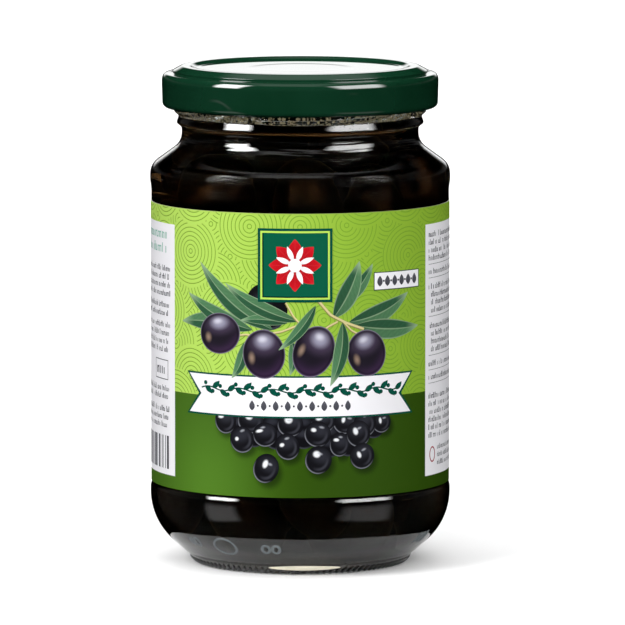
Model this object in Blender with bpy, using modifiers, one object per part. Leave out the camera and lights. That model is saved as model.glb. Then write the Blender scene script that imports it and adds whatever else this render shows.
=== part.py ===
"""A shut glass jar of black olives: hollow jar, twist-off lid, wrap-around label and the heap of olives.

Metres, +Z up. The origin is the middle of the jar's foot, on the surface that it stands on.
"""

import math

import bmesh
import bpy
import numpy as np

COLLECTION = "olive_jar"

# Faces round each turned piece, and the gap that neighbours keep
TURN_STEPS = 56
GAP = 0.0003

# Jar, outside, from the mouth down
MOUTH_TOP = 0.1172
FINISH_RADIUS = 0.0293
BEAD_RADIUS = 0.0298
BEAD_Z = 0.1066
BEAD_ROUND = 0.0010
NECK_RADIUS = 0.0286
NECK_TOP_Z = 0.1051
NECK_FOOT_Z = 0.1033
SHOULDER_SLOPE = math.radians(58)
SHOULDER_HOLLOW = 0.0042
SHOULDER_ROUND = 0.0036
RIDGE_RADIUS = 0.03627
RIDGE_DROP = 0.0014
PANEL_RADIUS = 0.03593
PANEL_TOP_Z = 0.0902
PANEL_FOOT_Z = 0.0188
LOW_RIDGE_Z = 0.0171
HEEL_ROUND = 0.0140
HEEL_SLOPE = math.radians(46)
FOOT_ROUND = 0.0015
BEARING_INNER = 0.0220
PUSH_UP_EDGE = 0.0205
PUSH_UP_STEP = 0.0009
PUSH_UP_HEIGHT = 0.0026

# Jar, inside
BORE_RADIUS = 0.0264
INNER_RADIUS = 0.0337
INNER_NECK_FOOT_Z = 0.1030
INNER_HOLLOW = 0.0062
INNER_ROUND = 0.0022
INNER_HEEL_TOP_Z = 0.0180
FLOOR_EDGE_RADIUS = 0.0200
FLOOR_EDGE_Z = 0.0054
FLOOR_MIDDLE_Z = 0.0064

# Thread of the jar: four short ridges that climb round the mouth
THREADS = 4
THREAD_ROUND = 0.0010
THREAD_CENTRE_RADIUS = 0.0294
THREAD_START = math.radians(-22)
THREAD_SPAN = math.radians(86)
THREAD_FOOT_Z = 0.1095
THREAD_RISE = 0.0040
THREAD_POINTS = 11
THREAD_TAPER = 0.2

# Lid
LID_TOP = 0.1204
BUTTON_RADIUS = 0.0100
BUTTON_HEIGHT = 0.0003
PANEL_Z = 0.1194
LID_PANEL_RADIUS = 0.0238
CREST_INNER = 0.0268
CREST_OUTER = 0.0288
CREST_FOOT_RADIUS = 0.0307
CREST_FOOT_Z = 0.1188
SKIRT_CORNER_RADIUS = 0.0322
SKIRT_CORNER_Z = 0.1183
SKIRT_RADIUS = 0.0334
CORNER_ROUND = 0.0011
CURL_ROUND = 0.00115
CURL_SET_IN = 0.0002
CURL_Z = 0.1108
LID_SHEET = 0.0006
SEAT_Z = MOUTH_TOP + GAP
SEAT_INNER = 0.0250
SEAT_OUTER = 0.0302
LUGS = 4
LUG_ANGLE = math.radians(-38)
LUG_WIDTH = 0.0110
LUG_HEIGHT = 0.0012
LUG_INNER_RADIUS = 0.0299

# Label: a strip wrapped once round, its last stretch lapped over its first at the back
LABEL_FOOT_Z = 0.0199
LABEL_TOP_Z = 0.0879
LABEL_RADIUS = PANEL_RADIUS
LABEL_THICKNESS = 0.0002
LABEL_LAP = math.radians(12)
LABEL_RAMP = math.radians(6)
LABEL_POINTS = 84
LABEL_RECESS = LABEL_THICKNESS + GAP

# Olives, and the room that they fill
OLIVE_LENGTH = 0.0204
OLIVE_WIDTH = 0.0154
OLIVE_COUNT = 72
OLIVE_CLEARANCE = 0.00045
OLIVE_SIDES = 12
OLIVE_RINGS = 7
HEAP_FOOT_Z = 0.0150
HEAP_TOP_Z = 0.1045
SETTLE_STEPS = 360
SETTLE_SEED = 7
SHOULDER_SHOWS_Z = 0.0800
HEEL_SHOWS_Z = 0.0270
CORE_INSET = 0.0030
CORE_LABEL_INSET = 0.0012
CORE_FOOT_Z = 0.0090
CORE_TOP_Z = 0.0985


def arc(centre, radius, start, end, steps):
    """Profile points on an arc, with angles in degrees from outwards (+r) towards up (+z)."""
    angles = np.radians(np.linspace(start, end, steps + 1))
    return [(centre[0] + radius * math.cos(a), centre[1] + radius * math.sin(a)) for a in angles]


def s_bend(neck_radius, neck_z, body_radius, hollow, rounding, slope, steps):
    """Shoulder from a neck down to a body: a hollow arc, a straight slope and a round arc."""
    turned = 1 - math.cos(slope)
    straight = body_radius - neck_radius - (hollow + rounding) * turned
    drop = (hollow + rounding) * math.sin(slope) + straight / math.tan(slope)
    degrees = math.degrees(slope)
    upper = arc((neck_radius + hollow, neck_z), hollow, 180, 180 + degrees, steps)
    lower = arc((body_radius - rounding, neck_z - drop), rounding, degrees, 0, steps)
    return upper + lower


def quarter_ellipse(edge, wall, steps):
    """Profile points from a floor's edge up to a wall, level at the floor and upright at the wall."""
    angles = np.linspace(0, math.pi / 2, steps + 1)
    width = wall[0] - edge[0]
    height = wall[1] - edge[1]
    return [(edge[0] + width * math.sin(a), wall[1] - height * math.cos(a)) for a in angles]


def heel_profile():
    """Outside of the jar from the lower ridge down to the ring that it stands on."""
    degrees = math.degrees(HEEL_SLOPE)
    heel = arc((RIDGE_RADIUS - HEEL_ROUND, LOW_RIDGE_Z), HEEL_ROUND, 0, -degrees, 5)
    end_radius, end_z = heel[-1]
    foot_z = FOOT_ROUND * (1 - math.sin(HEEL_SLOPE))
    foot_radius = end_radius - (end_z - foot_z) * math.tan(HEEL_SLOPE)
    centre = (foot_radius - FOOT_ROUND * math.cos(HEEL_SLOPE), FOOT_ROUND)
    return heel + arc(centre, FOOT_ROUND, -degrees, -90, 2)


def hollow_profile():
    """Inside of the jar, from the middle of the floor up to the bore of the mouth."""
    wall = (INNER_RADIUS, INNER_HEEL_TOP_Z)
    floor = [(0, FLOOR_MIDDLE_Z)] + quarter_ellipse((FLOOR_EDGE_RADIUS, FLOOR_EDGE_Z), wall, 5)
    shoulder = s_bend(BORE_RADIUS, INNER_NECK_FOOT_Z, INNER_RADIUS, INNER_HOLLOW, INNER_ROUND,
                      SHOULDER_SLOPE, 3)
    return floor + shoulder[::-1]


def jar_profile():
    """Section of the glass: up the inside, over the mouth, down the outside and under to the middle."""
    lip = (FINISH_RADIUS - BORE_RADIUS) / 2
    mouth = arc((BORE_RADIUS + lip, MOUTH_TOP - lip), lip, 180, 0, 4)
    bead = arc((BEAD_RADIUS - BEAD_ROUND, BEAD_Z), BEAD_ROUND, 60, -75, 4)
    neck = [(NECK_RADIUS, NECK_TOP_Z)]
    shoulder = s_bend(NECK_RADIUS, NECK_FOOT_Z, RIDGE_RADIUS, SHOULDER_HOLLOW, SHOULDER_ROUND,
                      SHOULDER_SLOPE, 4)
    ridge_z = shoulder[-1][1]
    recessed = PANEL_RADIUS - LABEL_RECESS
    panel = [(RIDGE_RADIUS, ridge_z - RIDGE_DROP), (PANEL_RADIUS, PANEL_TOP_Z),
             (PANEL_RADIUS, LABEL_TOP_Z + 2 * GAP), (recessed, LABEL_TOP_Z + GAP),
             (recessed, LABEL_FOOT_Z - GAP), (PANEL_RADIUS, LABEL_FOOT_Z - 2 * GAP),
             (PANEL_RADIUS, PANEL_FOOT_Z)]
    base = [(BEARING_INNER, 0), (PUSH_UP_EDGE, PUSH_UP_STEP), (0, PUSH_UP_HEIGHT)]
    return hollow_profile() + mouth + bead + neck + shoulder + panel + heel_profile() + base


def lid_profile():
    """Section of the lid: out over its top, down the skirt, round the curl and back under the top."""
    top = [(0, PANEL_Z + BUTTON_HEIGHT), (BUTTON_RADIUS, PANEL_Z + BUTTON_HEIGHT),
           (BUTTON_RADIUS + 3 * BUTTON_HEIGHT, PANEL_Z), (LID_PANEL_RADIUS, PANEL_Z)]
    rise = CREST_INNER - LID_PANEL_RADIUS
    crest = [(LID_PANEL_RADIUS + rise * t, PANEL_Z + (LID_TOP - PANEL_Z) * math.sin(t * math.pi / 2))
             for t in (0.35, 0.7, 1.0)]
    fall = CREST_FOOT_RADIUS - CREST_OUTER
    crest += [(CREST_OUTER + fall * math.sin(a), LID_TOP - (LID_TOP - CREST_FOOT_Z) * (1 - math.cos(a)))
              for a in np.linspace(0, math.pi / 2, 4)]
    corner = [(SKIRT_CORNER_RADIUS, SKIRT_CORNER_Z)]
    corner += arc((SKIRT_RADIUS - CORNER_ROUND, SKIRT_CORNER_Z - CORNER_ROUND), CORNER_ROUND, 60, 0, 2)
    curl = arc((SKIRT_RADIUS - CURL_SET_IN - CURL_ROUND, CURL_Z), CURL_ROUND, 0, -250, 7)
    inner = SKIRT_RADIUS - LID_SHEET
    inside = [(inner, CURL_Z + 1.5 * CURL_ROUND), (inner, SKIRT_CORNER_Z - 1.5 * CORNER_ROUND),
              (SKIRT_CORNER_RADIUS, SEAT_Z - GAP), (SEAT_OUTER, SEAT_Z), (SEAT_INNER, SEAT_Z),
              (SEAT_INNER - LID_SHEET, PANEL_Z - LID_SHEET),
              (BUTTON_RADIUS + 3 * BUTTON_HEIGHT, PANEL_Z - LID_SHEET),
              (BUTTON_RADIUS, PANEL_Z + BUTTON_HEIGHT - LID_SHEET),
              (0, PANEL_Z + BUTTON_HEIGHT - LID_SHEET)]
    return top + crest + corner + curl + inside


def core_profile():
    """Section of the heap's core, which stays behind the olives that show."""
    showing = INNER_RADIUS - CORE_INSET
    hidden = INNER_RADIUS - CORE_LABEL_INSET
    bore = BORE_RADIUS - 2 * CORE_INSET
    return [(0, CORE_TOP_Z), (bore, CORE_TOP_Z), (showing - CORE_INSET, LABEL_TOP_Z + 2 * CORE_INSET),
            (showing, LABEL_TOP_Z), (hidden, LABEL_TOP_Z - CORE_INSET),
            (hidden, LABEL_FOOT_Z + CORE_INSET), (showing, LABEL_FOOT_Z),
            (FLOOR_EDGE_RADIUS + CORE_INSET, CORE_FOOT_Z + CORE_INSET),
            (FLOOR_EDGE_RADIUS, CORE_FOOT_Z), (0, CORE_FOOT_Z)]


def make_material(name, colour, roughness, metallic=0.0, transmission=0.0):
    """Plain principled material with linear colour values."""
    material = bpy.data.materials.new(name)
    material.use_nodes = True
    shader = material.node_tree.nodes["Principled BSDF"]
    shader.inputs["Base Color"].default_value = (*colour, 1.0)
    shader.inputs["Roughness"].default_value = roughness
    shader.inputs["Metallic"].default_value = metallic
    shader.inputs["Transmission Weight"].default_value = transmission
    return material


def add_object(name, data, collection, material=None):
    """Puts mesh or curve data in the collection as a named object."""
    item = bpy.data.objects.new(name, data)
    collection.objects.link(item)
    if material is not None:
        data.materials.append(material)
    return item


def apply_modifiers(item):
    """Replaces the object's mesh by its evaluated mesh."""
    depsgraph = bpy.context.evaluated_depsgraph_get()
    mesh = bpy.data.meshes.new_from_object(item.evaluated_get(depsgraph))
    item.modifiers.clear()
    item.data = mesh


def smooth(item):
    """Shades the piece smooth, with its real corners kept sharp."""
    item.data.shade_smooth()
    item.data.set_sharp_from_angle(angle=math.radians(35))


def turned_piece(name, profile, collection, material=None):
    """Solid of revolution: the profile as a chain of edges with a Screw modifier."""
    mesh = bpy.data.meshes.new(name)
    points = [(radius, 0, z) for radius, z in profile]
    mesh.from_pydata(points, [(i, i + 1) for i in range(len(points) - 1)], [])
    item = add_object(name, mesh, collection, material)
    screw = item.modifiers.new("turn", "SCREW")
    screw.steps = TURN_STEPS
    screw.render_steps = TURN_STEPS
    screw.use_merge_vertices = True
    screw.merge_threshold = 0.00001
    screw.use_smooth_shade = False
    apply_modifiers(item)
    return item


def join_collection(item, pieces, solver="EXACT"):
    """Unites the object with every object of a collection, which are then removed."""
    union = item.modifiers.new("join", "BOOLEAN")
    union.operation = "UNION"
    union.solver = solver
    union.operand_type = "COLLECTION"
    union.collection = pieces
    apply_modifiers(item)
    for piece in list(pieces.objects):
        bpy.data.objects.remove(piece, do_unlink=True)
    bpy.data.collections.remove(pieces)


def tidy_mesh(item):
    """Merges doubled corners and drops slivers that a union leaves."""
    mesh = bmesh.new()
    mesh.from_mesh(item.data)
    bmesh.ops.remove_doubles(mesh, verts=mesh.verts, dist=0.00001)
    bmesh.ops.dissolve_degenerate(mesh, edges=mesh.edges, dist=0.00001)
    bmesh.ops.triangulate(mesh, faces=mesh.faces)
    mesh.to_mesh(item.data)
    mesh.free()


def new_helpers(name):
    """Collection for pieces that are joined to another."""
    pieces = bpy.data.collections.new(name)
    bpy.context.scene.collection.children.link(pieces)
    return pieces


def thread_ridge(index, pieces):
    """One ridge of the jar's thread: a tube along a helix that thins out at both ends."""
    curve = bpy.data.curves.new(f"thread_{index}", "CURVE")
    curve.dimensions = "3D"
    curve.bevel_depth = THREAD_ROUND
    curve.bevel_resolution = 1
    curve.use_fill_caps = True
    spline = curve.splines.new("POLY")
    spline.points.add(THREAD_POINTS - 1)
    start = THREAD_START + index * 2 * math.pi / THREADS
    for point, t in zip(spline.points, np.linspace(0, 1, THREAD_POINTS)):
        angle = start + THREAD_SPAN * t
        point.co = (THREAD_CENTRE_RADIUS * math.cos(angle), THREAD_CENTRE_RADIUS * math.sin(angle),
                    THREAD_FOOT_Z + THREAD_RISE * t, 1)
        point.radius = 0.4 + 0.6 * min(1, t / THREAD_TAPER, (1 - t) / THREAD_TAPER)
    tube = add_object(f"thread_tube_{index}", curve, pieces)
    mesh = bpy.data.meshes.new_from_object(tube.evaluated_get(bpy.context.evaluated_depsgraph_get()))
    shape = bmesh.new()
    shape.from_mesh(mesh)
    bmesh.ops.remove_doubles(shape, verts=shape.verts, dist=0.00001)
    shape.to_mesh(mesh)
    shape.free()
    bpy.data.objects.remove(tube, do_unlink=True)
    add_object(f"thread_{index}", mesh, pieces)


def make_jar(collection):
    """Hollow glass jar with its thread, open at the mouth under the lid."""
    glass = make_material("clear_glass", (0.86, 0.90, 0.88), 0.03, transmission=1.0)
    jar = turned_piece("jar_glass", jar_profile(), collection, glass)
    ridges = new_helpers("thread_ridges")
    for index in range(THREADS):
        thread_ridge(index, ridges)
    join_collection(jar, ridges)
    tidy_mesh(jar)
    smooth(jar)


def make_lid(collection):
    """Pressed lid with its button, crest, skirt and curl, and the lugs under the thread."""
    lacquer = make_material("green_lacquer", (0.004, 0.033, 0.014), 0.22)
    lid = turned_piece("lid", lid_profile(), collection, lacquer)
    lugs = new_helpers("lugs")
    length = SKIRT_RADIUS - CURL_ROUND - LUG_INNER_RADIUS
    for index in range(LUGS):
        angle = LUG_ANGLE - math.pi / 2 + index * 2 * math.pi / LUGS
        shape = bmesh.new()
        bmesh.ops.create_cube(shape, size=1)
        bmesh.ops.scale(shape, vec=(length, LUG_WIDTH, LUG_HEIGHT), verts=shape.verts)
        mesh = bpy.data.meshes.new(f"lug_{index}")
        shape.to_mesh(mesh)
        shape.free()
        lug = add_object(f"lug_{index}", mesh, lugs)
        middle = LUG_INNER_RADIUS + length / 2
        lug.location = (middle * math.cos(angle), middle * math.sin(angle), CURL_Z - LUG_HEIGHT / 4)
        lug.rotation_euler = (0, 0, angle)
    bpy.context.view_layer.update()
    join_collection(lid, lugs)
    tidy_mesh(lid)
    smooth(lid)


def label_line(radius, angles):
    """Line round the jar that starts at the back and steps out over its own start at the end."""
    lap_start = angles[-1] - LABEL_LAP
    climb = np.clip((angles - lap_start + LABEL_RAMP) / LABEL_RAMP, 0, 1)
    radii = radius + climb * (LABEL_THICKNESS + GAP)
    return [(r * math.cos(a), r * math.sin(a)) for r, a in zip(radii, angles)]


def make_label(collection):
    """Wrap-around label: the flat outline of its wound strip, extruded to the label's height."""
    paper = make_material("printed_paper", (0.45, 0.68, 0.12), 0.5)
    back = math.pi / 2
    angles = np.linspace(back, back + 2 * math.pi + LABEL_LAP, LABEL_POINTS)
    outline = label_line(LABEL_RADIUS, angles)
    outline += label_line(LABEL_RADIUS - LABEL_THICKNESS, angles)[::-1]
    curve = bpy.data.curves.new("label", "CURVE")
    curve.dimensions = "2D"
    curve.fill_mode = "BOTH"
    curve.extrude = (LABEL_TOP_Z - LABEL_FOOT_Z) / 2
    spline = curve.splines.new("POLY")
    spline.points.add(len(outline) - 1)
    spline.use_cyclic_u = True
    for point, (x, y) in zip(spline.points, outline):
        point.co = (x, y, 0, 1)
    strip = add_object("label_outline", curve, collection)
    strip.location.z = (LABEL_TOP_Z + LABEL_FOOT_Z) / 2
    bpy.context.view_layer.update()
    mesh = bpy.data.meshes.new_from_object(strip.evaluated_get(bpy.context.evaluated_depsgraph_get()))
    label = add_object("label", mesh, collection, paper)
    label.matrix_world = strip.matrix_world
    bpy.data.objects.remove(strip, do_unlink=True)
    tidy_mesh(label)
    smooth(label)


def wall_distance(radii, heights, wall):
    """Distance of points from the wall line, positive inside, and the way inwards from it."""
    start = wall[:-1]
    run = wall[1:] - start
    points = np.stack([radii, heights], 1)[:, None, :]
    along = np.clip(((points - start) * run).sum(2) / (run ** 2).sum(1), 0, 1)
    away = points - start - along[..., None] * run
    distance = np.sqrt((away ** 2).sum(2))
    nearest = distance.argmin(1)
    rows = np.arange(len(radii))
    normal = np.stack([-run[nearest, 1], run[nearest, 0]], 1)
    normal /= np.linalg.norm(normal, axis=1)[:, None]
    side = np.where((away[rows, nearest] * normal).sum(1) < 0, -1.0, 1.0)
    return side * distance[rows, nearest], normal


def settle_olives():
    """Centres and axes of the olives, grown and pushed apart inside the jar until they fit.

    An olive is five balls in a row. Each step moves and turns the olives by what their balls overlap
    each other and the wall.
    """
    random = np.random.default_rng(SETTLE_SEED)
    wall = np.array(hollow_profile() + [(BORE_RADIUS, HEAP_TOP_Z), (0, HEAP_TOP_Z)])
    half_length = OLIVE_LENGTH / 2
    half_width = OLIVE_WIDTH / 2
    places = np.array([-0.51, -0.265, 0, 0.265, 0.51]) * half_length
    sizes = np.array([0.65, 0.9, 1, 0.9, 0.65]) * half_width
    heights = random.uniform(HEAP_FOOT_Z, HEAP_TOP_Z - half_width, OLIVE_COUNT)
    spread = (BORE_RADIUS - GAP) * np.sqrt(random.uniform(0, 1, OLIVE_COUNT))
    turn = random.uniform(0, 2 * math.pi, OLIVE_COUNT)
    centres = np.stack([spread * np.cos(turn), spread * np.sin(turn), heights], 1)
    axes = random.normal(size=(OLIVE_COUNT, 3))
    axes /= np.linalg.norm(axes, axis=1)[:, None]
    owner = np.repeat(np.arange(OLIVE_COUNT), len(places))
    place = np.tile(places, OLIVE_COUNT)[:, None]
    others = owner[:, None] != owner[None, :]
    for step in range(SETTLE_STEPS):
        grown = min(1, 0.4 + step / SETTLE_STEPS)
        size = np.tile(sizes, OLIVE_COUNT) * grown
        arms = axes[owner] * place * grown
        balls = centres[owner] + arms
        between = balls[:, None, :] - balls[None, :, :]
        distance = np.sqrt((between ** 2).sum(2)) + 1e-9
        depth = np.maximum(size[:, None] + size[None, :] - distance, 0) * others
        push = (between / distance[..., None] * (depth / 2)[..., None]).sum(1)
        radii = np.hypot(balls[:, 0], balls[:, 1]) + 1e-9
        room, inwards = wall_distance(radii, balls[:, 2], wall)
        short = np.maximum(size + OLIVE_CLEARANCE - room, 0) * 1.5
        sideways = balls[:, :2] / radii[:, None] * (inwards[:, 0] * short)[:, None]
        push += np.column_stack([sideways, inwards[:, 1] * short])
        touching = (depth > 0).sum(1) + (short > 0)
        push /= np.sqrt(np.maximum(touching, 1))[:, None]
        shift = np.zeros_like(centres)
        np.add.at(shift, owner, push)
        twist = np.zeros_like(centres)
        np.add.at(twist, owner, np.cross(arms, push))
        centres += shift * 0.35
        axes += np.cross(twist / half_width ** 2 * 0.35, axes)
        axes /= np.linalg.norm(axes, axis=1)[:, None]
    return centres, axes


def make_olives(collection):
    """Heap of olives: a core with the olives that show above and below the label fused on."""
    skin = make_material("black_olive", (0.012, 0.009, 0.010), 0.25)
    heap = turned_piece("olives", core_profile(), collection, skin)
    pieces = new_helpers("showing_olives")
    wall = np.array(hollow_profile())
    for index, (centre, axis) in enumerate(zip(*settle_olives())):
        radius = math.hypot(centre[0], centre[1])
        room = wall_distance(np.array([radius]), np.array([centre[2]]), wall)[0][0]
        by_wall = room < OLIVE_LENGTH / 2 + CORE_INSET
        if not by_wall or HEEL_SHOWS_Z < centre[2] < SHOULDER_SHOWS_Z:
            continue
        shape = bmesh.new()
        bmesh.ops.create_uvsphere(shape, u_segments=OLIVE_SIDES, v_segments=OLIVE_RINGS, radius=0.5)
        bmesh.ops.scale(shape, vec=(OLIVE_WIDTH, OLIVE_WIDTH, OLIVE_LENGTH), verts=shape.verts)
        mesh = bpy.data.meshes.new(f"olive_{index}")
        shape.to_mesh(mesh)
        shape.free()
        olive = add_object(f"olive_{index}", mesh, pieces)
        olive.location = centre
        tilt = math.acos(max(-1, min(1, axis[2])))
        olive.rotation_euler = (0, tilt, math.atan2(axis[1], axis[0]))
    bpy.context.view_layer.update()
    join_collection(heap, pieces)
    tidy_mesh(heap)
    smooth(heap)


def main():
    """Clears the scene and builds the jar's pieces."""
    for item in list(bpy.data.objects):
        bpy.data.objects.remove(item, do_unlink=True)
    collection = bpy.data.collections.new(COLLECTION)
    bpy.context.scene.collection.children.link(collection)
    make_jar(collection)
    make_lid(collection)
    make_label(collection)
    make_olives(collection)


main()
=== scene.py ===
"""Looks of a shut glass jar of black olives: glass, brine, olives, lid, printed label and studio.

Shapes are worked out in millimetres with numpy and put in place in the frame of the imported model, which
is in metres, +Z up, with the front of the label towards -Y and +X to the right as it is read. Angles round
the jar are measured from the front, positive to the right.
"""

import logging
import math
from collections.abc import Callable
from dataclasses import dataclass
from enum import Enum

import bpy
import numpy as np
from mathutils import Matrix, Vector


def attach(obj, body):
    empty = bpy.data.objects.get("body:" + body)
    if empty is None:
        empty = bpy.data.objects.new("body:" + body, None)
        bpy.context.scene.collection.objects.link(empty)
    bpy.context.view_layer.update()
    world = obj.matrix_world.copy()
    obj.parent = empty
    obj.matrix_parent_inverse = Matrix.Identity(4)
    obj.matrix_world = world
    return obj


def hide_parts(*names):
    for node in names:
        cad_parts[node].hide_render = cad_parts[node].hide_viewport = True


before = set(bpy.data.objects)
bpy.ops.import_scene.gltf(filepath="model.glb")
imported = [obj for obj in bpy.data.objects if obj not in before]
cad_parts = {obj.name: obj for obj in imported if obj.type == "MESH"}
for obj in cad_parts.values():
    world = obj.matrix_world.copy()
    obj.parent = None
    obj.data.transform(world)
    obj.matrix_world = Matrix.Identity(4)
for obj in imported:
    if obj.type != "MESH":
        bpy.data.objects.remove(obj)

LOG = logging.getLogger("olive_jar")
MM = 0.001
BODY = "root"
Array = np.ndarray
Field = Callable[[Array, Array], Array]


def linear(colour: str) -> tuple[float, float, float]:
    """Linear red, green and blue of an sRGB hex colour such as 'b4d964'."""
    values = np.array([int(colour[i:i + 2], 16) for i in (0, 2, 4)]) / 255
    return tuple(np.where(values <= 0.04045, values / 12.92, ((values + 0.055) / 1.055) ** 2.4))


def blend(low: str, high: str, amount: Array) -> Array:
    """Linear colours between two hex colours, by amounts from 0 to 1."""
    share = np.asarray(amount)[..., None]
    return np.array(linear(low)) * (1 - share) + np.array(linear(high)) * share


def smoothstep(low: float, high: float, value: Array) -> Array:
    """Smooth ramp from 0 at low to 1 at high: 3t^2 - 2t^3 with t clipped to 0..1."""
    t = np.clip((value - low) / (high - low), 0, 1)
    return t * t * (3 - 2 * t)


def around_axis(radius: Array, angle: Array, height: Array) -> Array:
    """Points at a radius, an angle from the front and a height, of shapes that fit together."""
    radius, angle, height = np.broadcast_arrays(radius, angle, height)
    return np.stack([radius * np.sin(angle), -radius * np.cos(angle), height], -1)


def left_normals(path: Array) -> Array:
    """Unit normals of a flat path, to the left of its way."""
    run = np.gradient(path, axis=0)
    run /= np.maximum(np.linalg.norm(run, axis=1), 1e-9)[:, None]
    return np.stack([-run[:, 1], run[:, 0]], 1)


def full_turn(steps: int, start: float = 0.0) -> Array:
    """Angles round a circle, its last step left open."""
    return start + np.arange(steps) * 2 * math.pi / steps


def arc(centre: tuple[float, float], radius: float, start: float, end: float, steps: int) -> Array:
    """Profile points (r, z) on an arc, angles in degrees from outwards towards up."""
    angles = np.radians(np.linspace(start, end, steps + 1))
    return np.stack([centre[0] + radius * np.cos(angles), centre[1] + radius * np.sin(angles)], 1)


def chain(*parts: Array | list) -> Array:
    """Joins stretches of a profile and drops points that repeat."""
    points = np.concatenate([np.atleast_2d(np.asarray(part, float)) for part in parts])
    keep = np.append(True, np.linalg.norm(np.diff(points, axis=0), axis=1) > 1e-6)
    return points[keep]


def refined(profile: Array, spacing: float, low: float, high: float) -> Array:
    """Profile whose segments between heights low and high are cut into pieces no longer than spacing."""
    stretches = []
    for start, end in zip(profile[:-1], profile[1:]):
        inside = low <= (start[1] + end[1]) / 2 <= high
        count = max(1, math.ceil(np.linalg.norm(end - start) / spacing)) if inside else 1
        stretches.append(start + (end - start) * (np.arange(count) / count)[:, None])
    return np.concatenate(stretches + [profile[-1:]])


def s_bend(neck: tuple[float, float], body_radius: float, hollow: float, rounding: float, slope: float,
           steps: int) -> Array:
    """Shoulder from a neck down to a body.

    A hollow arc turns from upright to the slope, a straight line follows, and a round arc turns back to
    upright at the body's radius.

    Args:
        neck: radius and height where the hollow arc starts.
        body_radius: radius where the round arc ends.
        hollow: radius of the hollow arc.
        rounding: radius of the round arc.
        slope: angle of the straight line from upright, in degrees.
        steps: segments in each arc.

    Returns:
        Profile points, top to bottom.
    """
    turn = math.radians(slope)
    straight = body_radius - neck[0] - (hollow + rounding) * (1 - math.cos(turn))
    drop = (hollow + rounding) * math.sin(turn) + straight / math.tan(turn)
    upper = arc((neck[0] + hollow, neck[1]), hollow, 180, 180 + slope, steps)
    lower = arc((body_radius - rounding, neck[1] - drop), rounding, slope, 0, steps)
    return chain(upper, lower)


def quarter_ellipse(edge: tuple[float, float], wall: tuple[float, float], steps: int) -> Array:
    """Profile points from a floor's edge up to a wall, level at the floor and upright at the wall."""
    angles = np.linspace(0, math.pi / 2, steps + 1)
    width, height = wall[0] - edge[0], wall[1] - edge[1]
    return np.stack([edge[0] + width * np.sin(angles), wall[1] - height * np.cos(angles)], 1)


def grid_quads(rows: int, columns: int, closed: bool) -> Array:
    """Corner numbers of the quads of a grid, with the last column joined to the first if it is closed."""
    across = columns if closed else columns - 1
    i, j = np.meshgrid(np.arange(rows - 1), np.arange(across), indexing="ij")
    after = (j + 1) % columns
    quads = np.stack([i * columns + j, (i + 1) * columns + j, (i + 1) * columns + after,
                      i * columns + after], -1)
    return quads.reshape(-1, 4)


def poled_faces(rows: int, columns: int) -> list:
    """Faces of a closed grid whose first and last rows are fanned to the two points that follow it."""
    j = np.arange(columns)
    after = (j + 1) % columns
    last = (rows - 1) * columns
    top, bottom = rows * columns, rows * columns + 1
    return (grid_quads(rows, columns, True).tolist()
            + np.stack([np.full(columns, top), j, after], 1).tolist()
            + np.stack([last + j, np.full(columns, bottom), last + after], 1).tolist())


def capped_faces(rows: int, columns: int, flipped: bool = False) -> list:
    """Faces of a closed grid with a flat cap on its first and last row, all turned over if flipped."""
    last = (rows - 1) * columns
    faces = grid_quads(rows, columns, True).tolist()
    faces += [list(range(columns)), list(range(last + columns - 1, last - 1, -1))]
    return [face[::-1] for face in faces] if flipped else faces


def merged(shapes: list[tuple[Array, list]]) -> tuple[Array, list]:
    """Joins shapes, each its points and faces, into one."""
    faces, first = [], 0
    for points, own_faces in shapes:
        faces += [[corner + first for corner in face] for face in own_faces]
        first += len(points)
    return np.concatenate([points for points, _ in shapes]), faces


def put_mesh(name: str, points: Array, faces: list, material: bpy.types.Material,
             colours: Array | None = None) -> bpy.types.Object:
    """Makes a smooth mesh object at the origin.

    Args:
        name: name of the object and its mesh.
        points: corners in millimetres, one row each.
        faces: lists of corner numbers.
        material: material of every face.
        colours: linear colour of each corner, for the attribute named ink.

    Returns:
        The new object, riding on nothing yet.
    """
    mesh = bpy.data.meshes.new(name)
    mesh.from_pydata((points * MM).tolist(), [], faces)
    mesh.polygons.foreach_set("use_smooth", np.ones(len(mesh.polygons), bool))
    if colours is not None:
        layer = mesh.color_attributes.new("ink", "FLOAT_COLOR", "POINT")
        layer.data.foreach_set("color", np.column_stack([colours, np.ones(len(colours))]).ravel())
    mesh.materials.append(material)
    mesh.update()
    item = bpy.data.objects.new(name, mesh)
    bpy.context.scene.collection.objects.link(item)
    return item


def turned_mesh(profile: Array, steps: int, lift: Field | None = None) -> tuple[Array, list]:
    """Surface of revolution of a profile that starts and ends on the axis.

    Point (i, j) is profile point i turned by 2 pi j / steps from the front. The lift moves it along the
    profile's outward normal by lift(point numbers, angles) millimetres.

    Args:
        profile: (r, z) points, running down the outer side.
        steps: points round the axis.
        lift: distance to move each point, as a function of row numbers and angles, both as grids.

    Returns:
        Corners and faces, with one corner at each pole.
    """
    ring = profile[1:-1]
    rows, angles = np.meshgrid(np.arange(len(ring)), full_turn(steps, -math.pi), indexing="ij")
    places = ring[rows]
    if lift is not None:
        places = places + left_normals(ring)[rows] * lift(rows, angles)[..., None]
    grid = around_axis(places[..., 0], angles, places[..., 1]).reshape(-1, 3)
    points = np.concatenate([grid, [[0, 0, profile[0, 1]], [0, 0, profile[-1, 1]]]])
    return points, poled_faces(len(ring), steps)


def add_node(tree: bpy.types.NodeTree, kind: str, inputs: dict | None = None,
             **settings: object) -> bpy.types.Node:
    """Adds a node, with its settings, and its inputs as values or as links from other nodes' sockets."""
    node = tree.nodes.new(kind)
    for name, value in settings.items():
        setattr(node, name, value)
    for key, value in (inputs or {}).items():
        if isinstance(value, bpy.types.NodeSocket):
            tree.links.new(value, node.inputs[key])
        else:
            node.inputs[key].default_value = value
    return node


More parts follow.
